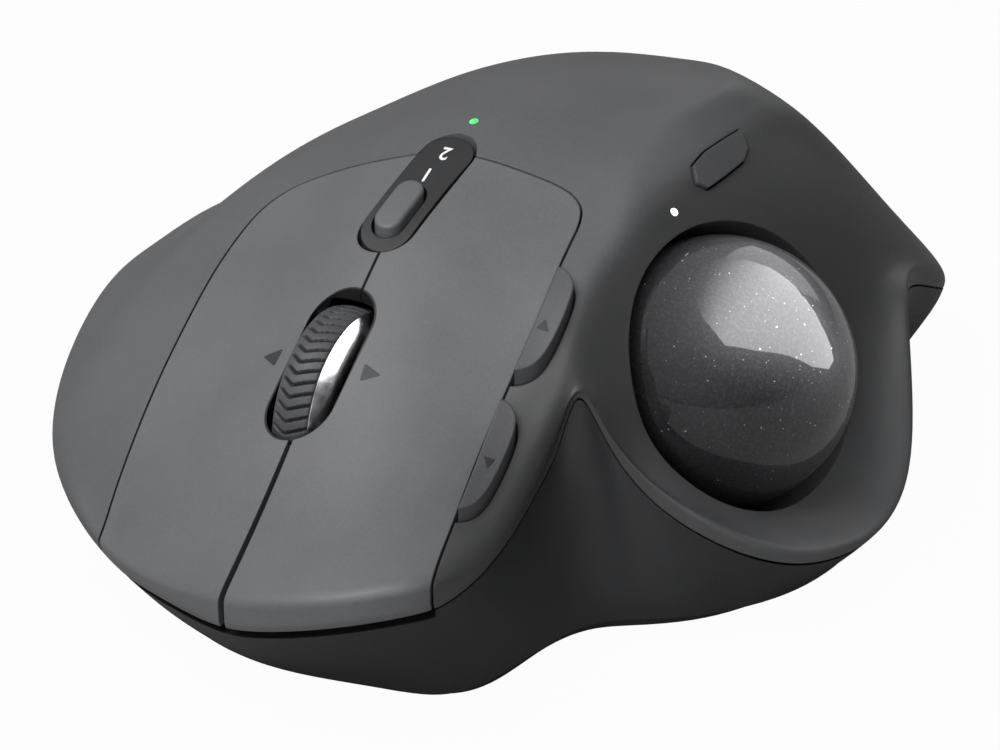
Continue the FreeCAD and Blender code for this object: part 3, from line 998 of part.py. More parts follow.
def charging_board():
    return box(about(PORT_X, 4.4), y=(51.2, 55.6), z=(4.0, 4.7))


def battery():
    return rounded_box(x=(-14.0, 18.0), y=(18.0, 44.0), z=(4.3, 10.1), radius=1.2, axis="y")


def precision_switch():
    body = local_box(BUTTON_C, BUTTON_AXIS * -1, length=4.0, width=3.2, near=5.3, far=7.6)
    return body.fuse(cylinder(BUTTON_C - BUTTON_AXIS * 5.35, 0.9, 0.6, BUTTON_AXIS))


def channel_switch():
    body = rounded_box(x=(-11.2, -7.8), y=(-18.2, -13.4), z=(33.6, 36.8), radius=0.4)
    return body.fuse(cylinder((-9.5, -15.7, 36.7), radius=0.8, height=0.9))


def power_slider():
    knob = rounded_box(about(SLIDER_X, 1.6), y=(-2.2, 2.2), z=(FLOOR_Z + 0.15, 4.2), radius=0.8)
    return on_facet(knob.fuse(box(about(SLIDER_X, 3.1), y=(-3.4, 3.4), z=(4.05, 5.0))))


# ---- base: steel plate, rubber pad, hinge pins, magnets ------------------------------
FOOT_K = 0.925                    # base outline = foot ring scaled about (-1, -3)
FOOT_MIN_X = -37.5
FOOT = [(max(FOOT_MIN_X, -1.0 + (x + 1.0) * FOOT_K), -3.0 + (y + 3.0) * FOOT_K)
        for x, y, z in SKIN[FOOT_RING]][:-1:2]


def foot_prism(scale, z0, height):
    """Plate of the base outline, scaled about (1, -3)."""
    curve = Part.BSplineCurve()
    curve.interpolate([Vec(1.0 + (x - 1.0) * scale, -3.0 + (y + 3.0) * scale, z0)
                       for x, y in FOOT], PeriodicFlag=True)
    return Part.Face(Part.Wire([curve.toShape()])).extrude(UP * height)


def base_plate():
    base = foot_prism(0.985, PAD_T, PLATE_T)
    ear_width = 2.4
    for hinge_y in HINGE_YS:
        for y in (hinge_y + 0.1, hinge_y + 9.5):
            ear = box(about(TILT_X, KNUCKLE_R), (y, y + ear_width), (PAD_T + 0.3, TILT_Z))
            ear = ear.fuse(cylinder((TILT_X, y, TILT_Z), KNUCKLE_R, ear_width, ALONG_Y))
            base = base.fuse(ear)
            base = base.cut(cylinder((TILT_X, y - 0.5, TILT_Z), PIN_R + 0.05,
                                     ear_width + 1.0, ALONG_Y))
    return base.cut(cylinder((BALL_C.x, BALL_C.y, 0), radius=4.4, height=4))


def base_pad():
    return foot_prism(1.0, 0.0, PAD_T).cut(
        cylinder((BALL_C.x, BALL_C.y, -1), radius=5.0, height=4))


def tilt_pins():
    return Part.makeCompound([cylinder((TILT_X, y + 0.15, TILT_Z), PIN_R, 11.7, ALONG_Y)
                              for y in HINGE_YS])


def latch_magnets():
    return Part.makeCompound([cylinder((25.0, 26.0, 3.95), radius=4.0, height=1.8),
                              cylinder((14.0, -33.0, 3.95), radius=3.0, height=1.8)])


def case_screws():
    """Screws with a cross recess under the head."""
    long_half, short_half, recess_z = 1.3, 0.3, (2.8, 3.5)
    screws = []
    for x, y in SCREWS:
        screw = cylinder((x, y, 2.9), radius=2.0, height=1.6).fuse(
            cylinder((x, y, 4.4), radius=1.1, height=12.2))
        screw = screw.cut(box(about(x, long_half), about(y, short_half), recess_z))
        screws.append(screw.cut(box(about(x, short_half), about(y, long_half), recess_z)))
    return Part.makeCompound(screws)


# ---- write: each file is named after the function that builds the piece --------------
PIECES = [
    top_shell, lower_shell, left_button, right_button, button_deck, back_button,
    forward_button, precision_button, switch_bezel, channel_button, pairing_light,
    precision_light, trackball, ball_cup, ball_bearings, sensor_lens, optical_sensor,
    sensor_board, wheel_hub, wheel_tyre, wheel_trim_ring, wheel_axle, wheel_carrier,
    wheel_encoder, wheel_frame, main_board, left_click_switch, right_click_switch,
    wheel_click_switch, side_switches, side_board, charging_port, charging_board, battery,
    precision_switch, channel_switch, power_slider, base_plate, base_pad, tilt_pins,
    latch_magnets, case_screws]

os.makedirs("parts", exist_ok=True)
for piece in PIECES:
    piece().exportStep("parts/%s.step" % piece.__name__)
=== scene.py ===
# A wireless trackball mouse. Its front (wheel and keys) faces -Y, the user's left (thumb side)
# is +X, and +Z is up. The CAD parts get their materials here, and the script adds a ribbed tyre,
# printed arrows and digits, and a white studio.
import bpy, math
from mathutils import Vector, Matrix


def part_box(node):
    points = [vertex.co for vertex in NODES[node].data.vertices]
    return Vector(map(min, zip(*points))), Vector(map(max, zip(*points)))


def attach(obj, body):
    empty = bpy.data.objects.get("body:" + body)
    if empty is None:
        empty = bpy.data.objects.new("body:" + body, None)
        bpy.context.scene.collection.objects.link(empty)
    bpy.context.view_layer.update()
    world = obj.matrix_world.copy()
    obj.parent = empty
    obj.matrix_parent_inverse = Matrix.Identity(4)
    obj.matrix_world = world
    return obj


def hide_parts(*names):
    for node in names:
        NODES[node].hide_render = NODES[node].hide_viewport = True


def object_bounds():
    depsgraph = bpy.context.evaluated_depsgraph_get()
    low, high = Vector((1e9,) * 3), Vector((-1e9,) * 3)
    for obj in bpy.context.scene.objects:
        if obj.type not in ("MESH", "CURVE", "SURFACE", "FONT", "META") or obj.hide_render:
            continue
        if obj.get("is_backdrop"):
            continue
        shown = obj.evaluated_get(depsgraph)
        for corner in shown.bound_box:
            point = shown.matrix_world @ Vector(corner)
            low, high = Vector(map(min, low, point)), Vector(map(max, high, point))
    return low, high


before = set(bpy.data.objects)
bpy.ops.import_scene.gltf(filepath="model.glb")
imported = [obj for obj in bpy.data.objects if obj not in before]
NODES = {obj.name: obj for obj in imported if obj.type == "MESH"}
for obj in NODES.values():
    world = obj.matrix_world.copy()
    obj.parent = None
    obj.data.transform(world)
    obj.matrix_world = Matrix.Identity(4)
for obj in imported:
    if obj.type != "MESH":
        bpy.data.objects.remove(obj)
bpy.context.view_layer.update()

MM = 0.001
SCENE = bpy.context.scene


# ------------------------------------------------------------------ node helpers
class Tree:
    """The node tree of a material or world, cleared down to its output node."""

    def __init__(self, owner, output):
        owner.use_nodes = True
        self.tree = owner.node_tree
        self.tree.nodes.clear()
        self.output = self.node(output)

    def feed(self, socket, value):
        """Link another socket into this one, or set its value; RGB colours gain an alpha of 1."""
        if isinstance(value, bpy.types.NodeSocket):
            self.tree.links.new(value, socket)
        elif socket.type == "RGBA":
            socket.default_value = (*value, 1.0)
        else:
            socket.default_value = value

    def node(self, kind, inputs=None, **settings):
        made = self.tree.nodes.new(kind)
        for key, value in settings.items():
            setattr(made, key, value)
        for key, value in (inputs or {}).items():
            self.feed(made.inputs[key], value)
        return made

    def math(self, operation, *operands):
        inputs = dict(enumerate(operands))
        return self.node("ShaderNodeMath", inputs, operation=operation).outputs[0]

    def remap(self, value, span=(0.3, 0.7), to=(0.0, 1.0), smooth=False):
        """Carry span onto to. The default span is the range that most noise values fill."""
        return self.node("ShaderNodeMapRange",
                         {"Value": value, "From Min": span[0], "From Max": span[1],
                          "To Min": to[0], "To Max": to[1]},
                         interpolation_type="SMOOTHSTEP" if smooth else "LINEAR").outputs["Result"]

    def mix_shaders(self, factor, first, second):
        """Blend two shader nodes into the output."""
        mixed = self.node("ShaderNodeMixShader",
                          {0: factor, 1: first.outputs[0], 2: second.outputs[0]})
        self.feed(self.output.inputs[0], mixed.outputs[0])

    def camera_ray(self):
        return self.node("ShaderNodeLightPath").outputs["Is Camera Ray"]


class Material(Tree):
    """A material with one surface shader, textured in object coordinates."""

    def __init__(self, name, shader="ShaderNodeBsdfPrincipled"):
        self.material = bpy.data.materials.new(name)
        super().__init__(self.material, "ShaderNodeOutputMaterial")
        self.shader = self.node(shader)
        self.feed(self.output.inputs[0], self.shader.outputs[0])
        self.coords = self.node("ShaderNodeTexCoord").outputs["Object"]

    def set(self, **values):
        for key, value in values.items():
            self.feed(self.shader.inputs[key.replace("_", " ")], value)

    def noise(self, scale, detail=2.0, rough=0.5, coords=None):
        return self.node("ShaderNodeTexNoise",
                         {"Scale": scale, "Detail": detail, "Roughness": rough,
                          "Vector": coords or self.coords}).outputs["Fac"]

    def mix(self, factor, first, second):
        return self.node("ShaderNodeMix", {0: factor, 6: first, 7: second},
                         data_type="RGBA").outputs[2]

    def xyz(self):
        return self.node("ShaderNodeSeparateXYZ", {0: self.coords}).outputs[:3]

    def bump(self, height, strength, distance, edge=0.0):
        """Relief from height; edge is the radius that softens the corners."""
        made = self.node("ShaderNodeBump",
                         {"Strength": strength, "Distance": distance, "Height": height})
        if edge:
            bevel = self.node("ShaderNodeBevel", {"Radius": edge}, samples=4)
            self.feed(made.inputs["Normal"], bevel.outputs[0])
        self.set(Normal=made.outputs[0])


def scaled(colour, factor):
    return tuple(c * factor for c in colour)


# ------------------------------------------------------------------ material recipes
def moulded(name, base, rough=0.52, grain=0.34, bump=0.16, spec=0.45, mottle=0.10, edge=0.25,
            dark=None, deep=0.45):
    """Moulded plastic or rubber with fine grain and slight mottling; grain and edge in mm.

    dark builds a mask of painted shade; where it is 1 the colour falls to deep times the base.
    """
    t = Material(name)
    fine = t.noise(scale=1.0 / (grain * MM), rough=0.6)
    coarse = t.noise(scale=55.0, detail=3.0, rough=0.55)
    colour = t.mix(t.remap(coarse), scaled(base, 1 - mottle), scaled(base, 1 + mottle))
    speckle = t.remap(fine, span=(0.35, 0.65), to=(0.0, 0.16))
    colour = t.mix(speckle, colour, scaled(base, 1.9))
    # painted shade: the colour darkens where the dark mask is high
    if dark:
        colour = t.mix(dark(t), colour, scaled(base, deep))
    t.set(Base_Color=colour, Specular_IOR_Level=spec, Coat_Weight=0.0, Coat_Roughness=0.25,
          Roughness=t.math("ADD", t.remap(fine, to=(rough - 0.05, rough + 0.07)),
                           t.remap(coarse, to=(-0.03, 0.03))))
    t.bump(fine, strength=bump, distance=0.05 * MM, edge=edge * MM)
    return t.material


def cradle_painted_shade(t):
    """Painted shade: darkens the thumb cradle past a line in x that leans outwards to the rear,
    less towards its lower edge, and darkens the whole shell a little towards the rear.
    """
    lean, line_x = 0.13, 17.6 * MM  # x gained per y, and the line's x at y = 0
    x, y, z = t.xyz()
    past = t.math("SUBTRACT", x, t.math("MULTIPLY_ADD", y, lean, line_x))
    side = t.math("MULTIPLY",
                  t.remap(past, span=(-1.2 * MM, 2.6 * MM), to=(0.0, 0.90), smooth=True),
                  t.remap(z, span=(9.0 * MM, 27.0 * MM), to=(0.25, 1.0), smooth=True))
    # painted shade, darker towards the rear of the shell
    rear = t.remap(y, span=(-5.0 * MM, 45.0 * MM), to=(0.0, 0.34), smooth=True)
    return t.math("MAXIMUM", side, rear)


def slot_wall_painted_shade(t):
    """Painted shade: 1 on the walls of the wheel slot, 0 on the visible top of the plates."""
    slot_x, front_y, rear_y = -9.4 * MM, -40.8 * MM, -31.0 * MM  # centreline of the slot
    x, y, _ = t.xyz()
    nearest = t.math("MINIMUM", t.math("MAXIMUM", y, front_y), rear_y)
    along = t.math("SUBTRACT", y, nearest)
    across = t.math("SUBTRACT", x, slot_x)
    squared = t.math("ADD", t.math("MULTIPLY", along, along), t.math("MULTIPLY", across, across))
    return t.remap(t.math("SQRT", squared), span=(4.40 * MM, 4.48 * MM), to=(1.0, 0.0))


def metal(name, base, rough, brushed=0.0, edge=0.15):
    """Bare metal; brushed adds streaks and deepens the relief. edge in mm."""
    t = Material(name)
    if brushed:
        stretch = t.node("ShaderNodeMapping", {"Scale": (1.0, 60.0, 1.0), "Vector": t.coords})
        streaks = t.noise(scale=220.0, detail=3.0, rough=0.6, coords=stretch.outputs[0])
    else:
        streaks = t.noise(scale=900.0, detail=3.0, rough=0.6)
    t.set(Base_Color=t.mix(t.remap(streaks), scaled(base, 0.86), base), Metallic=1.0,
          Roughness=t.remap(streaks, to=(max(0.02, rough - 0.04), rough + 0.06)))
    t.bump(streaks, strength=0.05 + brushed, distance=0.02 * MM, edge=edge * MM)
    return t.material


def lamp(name, colour, power):
    t = Material(name)
    grain = t.noise(scale=1500.0, detail=1.0)
    t.set(Base_Color=t.mix(t.remap(grain, to=(0.0, 0.3)), colour, (0.9, 0.95, 0.9)),
          Roughness=0.3, Emission_Color=colour, Emission_Strength=power)
    t.bump(grain, strength=0.05, distance=0.02 * MM)
    return t.material


# Flake layers: cells per metre, largest radius in cells, share of cells left bare, brightness.
FLAKES = [(620.0, 0.105, 0.62, 1.0), (1150.0, 0.15, 0.55, 0.8), (1900.0, 0.17, 0.60, 0.45)]


def pearl(name):
    """Dark plum pearl under a clear coat, with silver flakes of several sizes."""
    t = Material(name)
    soft = t.noise(scale=60.0, detail=3.0, rough=0.6)
    fine = t.noise(scale=2600.0, rough=0.7)
    base = t.mix(t.remap(soft, span=(0.35, 0.65)), (0.030, 0.029, 0.033), (0.042, 0.040, 0.046))
    base = t.mix(t.remap(fine, span=(0.45, 0.75), to=(0.0, 0.35)), base, (0.15, 0.15, 0.16))
    flakes = None
    for scale, size, bare, gain in FLAKES:
        cells = t.node("ShaderNodeTexVoronoi", {"Scale": scale, "Vector": t.coords}, feature="F1")
        chance = t.node("ShaderNodeTexWhiteNoise", {"Vector": cells.outputs["Position"]},
                        noise_dimensions="3D").outputs["Value"]
        radius = t.math("MULTIPLY", t.remap(chance, span=(bare, 1.0)), size)
        inside = t.math("SUBTRACT", radius, cells.outputs["Distance"])
        layer = t.math("MULTIPLY", t.remap(inside, span=(0.0, 0.05)), gain)
        flakes = layer if flakes is None else t.math("MAXIMUM", flakes, layer)
    flake_metal, base_metal = 0.1, 0.55  # metallic added on a flake, and between flakes
    t.set(Base_Color=t.mix(flakes, base, (0.95, 0.95, 1.0)),
          Metallic=t.math("MULTIPLY_ADD", flakes, flake_metal, base_metal),
          Roughness=t.remap(flakes, span=(0.0, 1.0), to=(0.48, 0.35)),
          Coat_Weight=1.0, Coat_Roughness=0.02, Coat_IOR=1.5)
    t.bump(t.noise(scale=35.0, detail=1.0), strength=0.02, distance=0.01 * MM)
    return t.material


def clear(name):
    t = Material(name)
    haze = t.noise(scale=400.0)
    t.set(Base_Color=t.mix(t.remap(haze), (0.85, 0.9, 0.95), (0.95, 0.97, 1.0)),
          Roughness=0.05, Transmission_Weight=0.9)
    t.bump(haze, strength=0.02, distance=0.01 * MM)
    return t.material


GRAPHITE = (0.112, 0.114, 0.118)
MAT = {
    # the top shell carries painted shade on the thumb cradle and towards its rear
    "top_shell": moulded("mould_graphite_shell", scaled(GRAPHITE, 0.80), rough=0.50,
                         dark=cradle_painted_shade),
    # the main keys carry painted shade, nearly black, on the walls of the wheel slot
    "main_key": moulded("mould_graphite_key", scaled(GRAPHITE, 0.98), rough=0.46, grain=0.30,
                        bump=0.12, dark=slot_wall_painted_shade, deep=0.06),
    "lower_shell": moulded("mould_black_shell", (0.0190, 0.0195, 0.0210), rough=0.50, bump=0.14,
                           mottle=0.15, spec=0.36),
    "side_key": moulded("mould_side_key", (0.070, 0.071, 0.075), rough=0.42, grain=0.30,
                        bump=0.10, edge=0.35),
    "precision_key": moulded("mould_precision_key", (0.060, 0.061, 0.064), rough=0.45,
                             grain=0.30, bump=0.12, edge=0.3),
    "bezel": moulded("mould_bezel", (0.024, 0.0245, 0.026), rough=0.34, grain=0.22, bump=0.05,
                     edge=0.15),
    "pill": moulded("mould_pill", (0.104, 0.106, 0.110), rough=0.40, grain=0.28, bump=0.08,
                    edge=0.3),
    "black": moulded("mould_inner_black", (0.010, 0.010, 0.011), rough=0.6, mottle=0.2),
    "acetal": moulded("mould_acetal", (0.42, 0.42, 0.40), rough=0.45),
    "rubber_pad": moulded("pad_rubber", (0.024, 0.024, 0.026), rough=0.8, grain=0.6, bump=0.5),
    "tyre": moulded("tyre_rubber", (0.060, 0.061, 0.064), rough=0.50, grain=0.25, bump=0.12,
                    edge=0.1, spec=0.5),
    "switch": moulded("switch_case", (0.02, 0.02, 0.024), rough=0.5),
    "switch_white": moulded("switch_white", (0.6, 0.6, 0.58), rough=0.45),
    "board": moulded("solder_mask", (0.012, 0.10, 0.045), rough=0.32, grain=0.8, mottle=0.3),
    "chip": moulded("chip_black", (0.012, 0.012, 0.013), rough=0.45),
    "cell": metal("cell_foil", (0.50, 0.52, 0.56), rough=0.35, brushed=0.2),
    "steel": metal("brushed_steel", (0.55, 0.55, 0.57), rough=0.32, brushed=0.3),
    "chrome": metal("chrome_ring", (0.52, 0.52, 0.54), rough=0.22, edge=0.1),
    "white_ball": moulded("bearing_white", (0.75, 0.74, 0.70), rough=0.2),
    "pearl": pearl("ball_pearl"),
    "green": lamp("lamp_green", (0.01, 0.55, 0.08), power=1.1),
    "white": lamp("lamp_white", (0.95, 0.97, 1.0), power=3.0),
    "mark": moulded("printed_mark", (0.026, 0.026, 0.030), rough=0.42, grain=0.3, bump=0.05,
                    edge=0.0),
    "print_white": moulded("printed_white", (0.80, 0.80, 0.80), rough=0.45, grain=0.3,
                           bump=0.05, edge=0.0, mottle=0.03),
    "lens": clear("lens_clear"),
}

# CAD parts by material.
PARTS = {
    "top_shell": "top_shell",
    "lower_shell": "lower_shell",
    "main_key": "left_button right_button",
    "side_key": "back_button forward_button",
    "precision_key": "precision_button",
    "bezel": "switch_bezel",
    "pill": "channel_button",
    "black": "button_deck ball_cup wheel_hub wheel_frame",
    "acetal": "wheel_carrier power_slider",
    "rubber_pad": "base_pad",
    "tyre": "wheel_tyre",
    "switch": "left_click_switch right_click_switch wheel_click_switch side_switches "
              "precision_switch channel_switch",
    "switch_white": "wheel_encoder",
    "board": "sensor_board main_board side_board charging_board",
    "chip": "optical_sensor",
    "cell": "battery",
    "steel": "wheel_axle charging_port base_plate tilt_pins case_screws",
    "chrome": "wheel_trim_ring latch_magnets",
    "white_ball": "ball_bearings",
    "pearl": "trackball",
    "green": "pairing_light",
    "white": "precision_light",
    "lens": "sensor_lens",
}
PAINT = {part: MAT[key] for key, parts in PARTS.items() for part in parts.split()}


def shade(mesh, sharp_degrees):
    mesh.shade_smooth()
    mesh.set_sharp_from_angle(angle=math.radians(sharp_degrees))


for part, obj in NODES.items():
    slots = obj.data.materials
    if not slots:
        slots.append(PAINT[part])
    for k in range(len(slots)):
        slots[k] = PAINT[part]
    shade(obj.data, sharp_degrees=28)


# ------------------------------------------------------------------ mesh pieces
def add_object(name, data):
    obj = bpy.data.objects.new(name, data)
    SCENE.collection.objects.link(obj)
    return obj


def piece(name, verts, faces, material, body=None, sharp_degrees=None):
    """A mesh object that rides on body; flat shaded unless sharp_degrees is given."""
    mesh = bpy.data.meshes.new(name)
    mesh.from_pydata([tuple(v) for v in verts], [], faces)
    mesh.validate()
    mesh.update()
    obj = add_object(name, mesh)
    mesh.materials.append(material)
    if sharp_degrees:
        shade(mesh, sharp_degrees)
    if body:
        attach(obj, body)
    return obj


def box_centre(part):
    return Vector([(a + b) / 2 for a, b in zip(*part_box(part))])


# ---- ribbed tyre: chevron grooves around the wheel, whose axis lies along X
TYRE_LOW, TYRE_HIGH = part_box("wheel_tyre")
WHEEL = box_centre("wheel_tyre")
TYRE_R = (TYRE_HIGH[2] - TYRE_LOW[2]) / 2
BORE_R = TYRE_R - 2.4 * MM
X0, X1 = TYRE_LOW[0] - WHEEL.x, TYRE_HIGH[0] - WHEEL.x  # tyre edges, from the wheel centre
RIBS, STEPS_PER_RIB, ACROSS = 52, 14, 27
APEX_X = X0 + 0.40 * (X1 - X0)
LEAN_0, LEAN_1 = 0.62, 0.42     # groove slope on the X0 and X1 sides of the apex
GROOVE_DEPTH = 0.68 * MM
FLOOR_HALF, WALL = 0.10, 0.22   # groove floor and wall widths, in half pitches
PLAIN_EDGE, EDGE_FADE = 0.42 * MM, 0.35 * MM  # ungrooved band at X0, and its fade
CROWN_DROP = 0.45 * MM
SHOULDER_R, SHOULDER_START = 0.30 * MM, 0.90  # edge drop, and where it starts in half widths


def smooth01(v):
    v = max(0.0, min(1.0, v))
    return v * v * (3 - 2 * v)


def crown(x):
    """Radius of the tread without its grooves."""
    u = (x - (X0 + X1) / 2) / ((X1 - X0) / 2)
    radius = TYRE_R - CROWN_DROP * u * u
    edge = max(0.0, abs(u) - SHOULDER_START) / 0.10
    return radius - SHOULDER_R * (1 - math.sqrt(max(0.0, 1 - edge * edge)))


def tread_radius(x, angle):
    lag = (APEX_X - x) * LEAN_0 if x < APEX_X else (x - APEX_X) * LEAN_1
    phase = ((angle + lag / TYRE_R) * RIBS / (2 * math.pi)) % 1.0
    off_groove = abs(phase - 0.5) * 2.0
    cut = 1.0 - smooth01((off_groove - FLOOR_HALF) / WALL)
    cut *= smooth01((x - (X0 + PLAIN_EDGE)) / EDGE_FADE)
    return crown(x) - GROOVE_DEPTH * cut


def ribbed_tyre():
    def rim_point(x, radius, angle):
        return (WHEEL.x + x, WHEEL.y + radius * math.cos(angle),
                WHEEL.z + radius * math.sin(angle))

    around = RIBS * STEPS_PER_RIB
    angles = [2 * math.pi * a / around for a in range(around)]
    stations = [X0 + (X1 - X0) * k / (ACROSS - 1) for k in range(ACROSS)]
    verts = [rim_point(x, tread_radius(x, angle), angle) for angle in angles for x in stations]
    bore = len(verts)
    verts += [rim_point(x, BORE_R, angle) for angle in angles for x in (X0, X1)]
    faces = []
    for a in range(around):
        b = (a + 1) % around
        row, after = a * ACROSS, b * ACROSS
        for k in range(ACROSS - 1):
            faces.append((row + k, after + k, after + k + 1, row + k + 1))
        in_row, in_after = bore + 2 * a, bore + 2 * b
        faces.append((row, in_row, in_after, after))
        faces.append((row + ACROSS - 1, after + ACROSS - 1, in_after + 1, in_row + 1))
        faces.append((in_row, in_row + 1, in_after + 1, in_after))
    return piece("wheel_ribbed_tyre", verts, faces, MAT["tyre"], "wheel", sharp_degrees=50)


tyre = ribbed_tyre()
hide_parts("wheel_tyre")

# ---- printed arrows: thin triangles with cut corners
MARK_LIFT, MARK_DOME, MARK_SINK = 0.05 * MM, 0.012 * MM, 0.12 * MM
SIDE_SHARES = (0.08, 0.35, 0.65, 0.92)  # points along each side of the triangle
# Name, body, three corners in mm.
MARKS = [
    ("arrow_wheel_right", "right_key",
     [(-17.7, -35.3, 30.5), (-15.3, -34.5, 31.8), (-15.4, -36.6, 30.4)]),
    ("arrow_wheel_left", "left_key",
     [(-3.82, -35.05, 32.88), (-1.28, -35.8, 32.25), (-3.43, -37.19, 31.6)]),
    ("arrow_back", "back_key",
     [(13.46, -24.37, 36.61), (14.09, -22.99, 37.36), (15.08, -24.15, 36.46)]),
    ("arrow_forward", "forward_key",
     [(14.14, -39.51, 27.18), (15.49, -39.11, 26.8), (15.1, -40.59, 26.3)]),
]


def mark(name, body, corners):
    p = [Vector(corner) * MM for corner in corners]
    normal = (p[1] - p[0]).cross(p[2] - p[0]).normalized()
    if normal.z < 0:
        normal = -normal
    centre = (p[0] + p[1] + p[2]) / 3
    ring = [p[k].lerp(p[(k + 1) % 3], share) for k in range(3) for share in SIDE_SHARES]
    low = [q - normal * MARK_SINK for q in ring]
    top = [q + normal * MARK_LIFT for q in ring]
    cap = [centre + (q - centre) * 0.9 + normal * (MARK_LIFT + MARK_DOME) for q in ring]
    m = len(ring)
    faces = [tuple(range(2 * m, 3 * m))]
    for k in range(m):
        j = (k + 1) % m
        faces.append((k, j, m + j, m + k))
        faces.append((m + k, m + j, 2 * m + j, 2 * m + k))
    faces.append(tuple(range(m))[::-1])
    if (ring[1] - ring[0]).cross(ring[5] - ring[0]).dot(normal) < 0:
        faces = [face[::-1] for face in faces]
    piece(name, low + top + cap, faces, MAT["mark"], body)


for name, body, corners in MARKS:
    mark(name, body, corners)

# ---- digits on the channel switch, laid on a cylinder along X (mm)
ARC_Y, ARC_Z, ARC_R = 16.2, -28.0, 78.0
DIGIT_NARROWING = 0.80


def digit(text, x, y):
    curve = bpy.data.curves.new("digit_" + text, "FONT")
    curve.body = text
    curve.size = 3.3 * MM
    curve.extrude = 0.05 * MM
    curve.offset = 0.04 * MM
    curve.align_x, curve.align_y = "CENTER", "CENTER"
    source = add_object("tmp_text", curve)
    bpy.context.view_layer.update()
    graph = bpy.context.evaluated_depsgraph_get()
    mesh = bpy.data.meshes.new_from_object(source.evaluated_get(graph))
    bpy.data.objects.remove(source)

    xs = [v.co.x for v in mesh.vertices]
    ys = [v.co.y for v in mesh.vertices]
    middle = Vector(((min(xs) + max(xs)) / 2, (min(ys) + max(ys)) / 2, 0))
    z = ARC_Z + math.sqrt(ARC_R ** 2 - (y - ARC_Y) ** 2)
    normal = Vector((0, y - ARC_Y, z - ARC_Z)).normalized()
    right = Vector((-1, 0, 0))  # the text reads towards -X, its top to the front
    turn = Matrix((right, normal.cross(right), normal)).transposed()
    place = Vector((x, y, z)) * MM
    for v in mesh.vertices:
        q = v.co - middle
        v.co = place + turn @ Vector((q.x * DIGIT_NARROWING, q.y, q.z))
    mesh.materials.clear()
    mesh.materials.append(MAT["print_white"])
    obj = add_object("digit_" + text, mesh)
    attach(obj, "casing")


digit("1", x=-8.71, y=-9.58)
digit("2", x=-8.22, y=-5.58)


# ------------------------------------------------------------------ floor and world
def studio_floor():
    """Grey to the light it bounces, nearly pure white to the camera."""
    half, gap = 3.0, 0.0002     # half width, and drop below the mouse
    camera_white = 0.97         # share of white glow the camera sees
    t = Material("studio_floor")
    glow = t.node("ShaderNodeEmission", {"Color": (1, 1, 1), "Strength": 1.0})
    t.set(Base_Color=t.mix(t.remap(t.noise(scale=8.0)), (0.30, 0.30, 0.30), (0.33, 0.33, 0.33)),
          Roughness=0.9, Specular_IOR_Level=0.1)
    t.mix_shaders(t.math("MULTIPLY", t.camera_ray(), camera_white), t.shader, glow)
    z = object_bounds()[0][2] - gap
    corners = [(-half, -half, z), (half, -half, z), (half, half, z), (-half, half, z)]
    piece("studio_floor", corners, [(0, 1, 2, 3)], t.material)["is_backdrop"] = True


def studio_world():
    """White to the camera; lights the scene with a glow from above, brightest at -X and -Y."""
    world = bpy.data.worlds.new("studio")
    SCENE.world = world
    t = Tree(world, "ShaderNodeOutputWorld")
    brightest = tuple(Vector((-0.50, -0.25, 0.83)).normalized())
    direction = t.node("ShaderNodeTexCoord").outputs["Generated"]
    facing = t.node("ShaderNodeVectorMath", {0: direction, 1: brightest}, operation="DOT_PRODUCT")
    ramp = t.node("ShaderNodeValToRGB",
                  {"Fac": t.remap(facing.outputs["Value"], span=(-1.0, 1.0))})
    dark, bright = ramp.color_ramp.elements
    dark.position, dark.color = 0.35, (0.05, 0.05, 0.052, 1)
    bright.position, bright.color = 1.0, (1, 1, 1, 1)
    glow = t.node("ShaderNodeBackground", {"Color": ramp.outputs["Color"], "Strength": 0.55})
    white = t.node("ShaderNodeBackground", {"Color": (1, 1, 1), "Strength": 1.0})
    t.mix_shaders(t.camera_ray(), glow, white)


studio_floor()
studio_world()

# ------------------------------------------------------------------ lights
TARGET = Vector((-0.0027, -0.0014, 0.0149))  # the point that lights and camera face


def aim(obj):
    obj.rotation_euler = (TARGET - obj.location).to_track_quat("-Z", "Y").to_euler()


def area(name, direction, distance, size, power):
    light = bpy.data.lights.new(name, "AREA")
    light.shape = "RECTANGLE"
    light.size, light.size_y = size
    light.energy = power
    obj = add_object(name, light)
    obj.location = TARGET + Vector(direction).normalized() * distance
    aim(obj)
    obj.visible_camera = False
    return obj


key = area("key_top_left", (-0.22, -0.45, 1.0), distance=0.80, size=(0.55, 0.50), power=5.0)
fill = area("fill_front", (0.35, -1.0, 0.35), distance=0.90, size=(0.50, 0.50), power=1.7)
area("rim_back", (0.10, 1.0, 0.60), distance=0.90, size=(0.60, 0.60), power=1.2)

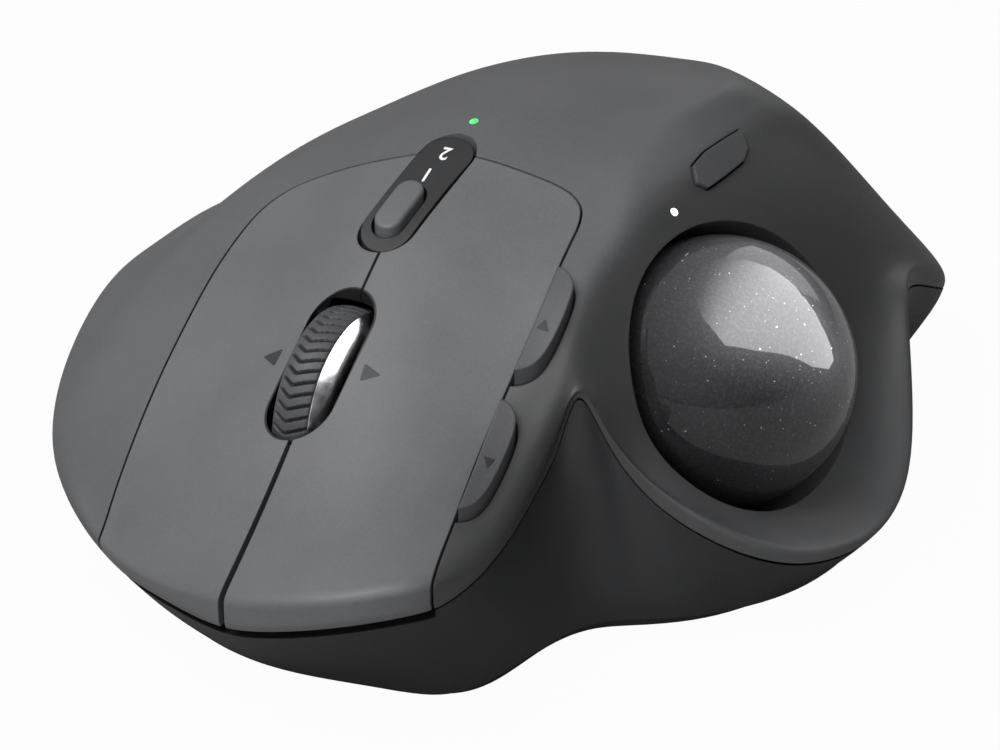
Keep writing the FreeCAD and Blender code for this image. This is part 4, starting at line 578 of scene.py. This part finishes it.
# Outline of the softbox mirrored in the ball: directions from the ball's centre.
BALL = box_centre("trackball")
SOFTBOX_DISTANCE = 0.60
SOFTBOX = [
    (-0.309, 0.666, 0.679), (-0.081, 0.765, 0.639), (0.141, 0.815, 0.562),
    (0.415, 0.779, 0.470), (0.633, 0.734, 0.248), (0.729, 0.684, -0.020),
    (0.757, 0.640, -0.12), (0.945, 0.291, 0.148), (0.898, 0.010, 0.439),
    (0.655, -0.361, 0.664), (0.297, -0.568, 0.767), (-0.10, -0.36, 0.93),
    (-0.380, -0.014, 0.925), (-0.40, 0.35, 0.85),
]


def ball_softbox():
    """A glowing fan of triangles, brighter towards +X."""
    rim = [BALL + Vector(d).normalized() * SOFTBOX_DISTANCE for d in SOFTBOX]
    count = len(rim)
    centre = sum(rim, Vector()) / count
    faces = [(0, k + 1, (k + 1) % count + 1) for k in range(count)]
    t = Material("ball_softbox", "ShaderNodeEmission")
    t.set(Strength=t.remap(t.xyz()[0], span=(BALL.x - 0.20, BALL.x + 0.16), to=(0.6, 6.5),
                           smooth=True))
    obj = piece("ball_softbox", [centre] + rim, faces, t.material)
    obj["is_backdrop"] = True
    obj.visible_camera = obj.visible_diffuse = obj.visible_shadow = False
    return obj


def light_only(name, lights, receivers):
    """Limit the lights to the receivers."""
    group = bpy.data.collections.new(name)
    for obj in receivers:
        group.objects.link(obj)
    for obj in lights:
        obj.light_linking.receiver_collection = group


light_only("ball_and_ring", [ball_softbox()], [NODES["trackball"], NODES["wheel_trim_ring"]])
light_only("all_but_ball", [key, fill],
           [obj for obj in SCENE.collection.all_objects
            if obj.type == "MESH" and obj is not NODES["trackball"]])

# ------------------------------------------------------------------ camera
CAMERA_DISTANCE = 0.450
azimuth, elevation = math.radians(26.5), math.radians(29.0)  # from -Y towards +X, and upwards
lens = bpy.data.cameras.new("camera")
camera = add_object("camera", lens)
lens.sensor_width = 36.0
lens.lens = 126.0
lens.clip_start = 0.01
camera.location = TARGET + CAMERA_DISTANCE * Vector((
    math.sin(azimuth) * math.cos(elevation), -math.cos(azimuth) * math.cos(elevation),
    math.sin(elevation)))
aim(camera)
SCENE.camera = camera
SCENE.view_settings.view_transform = "Standard"
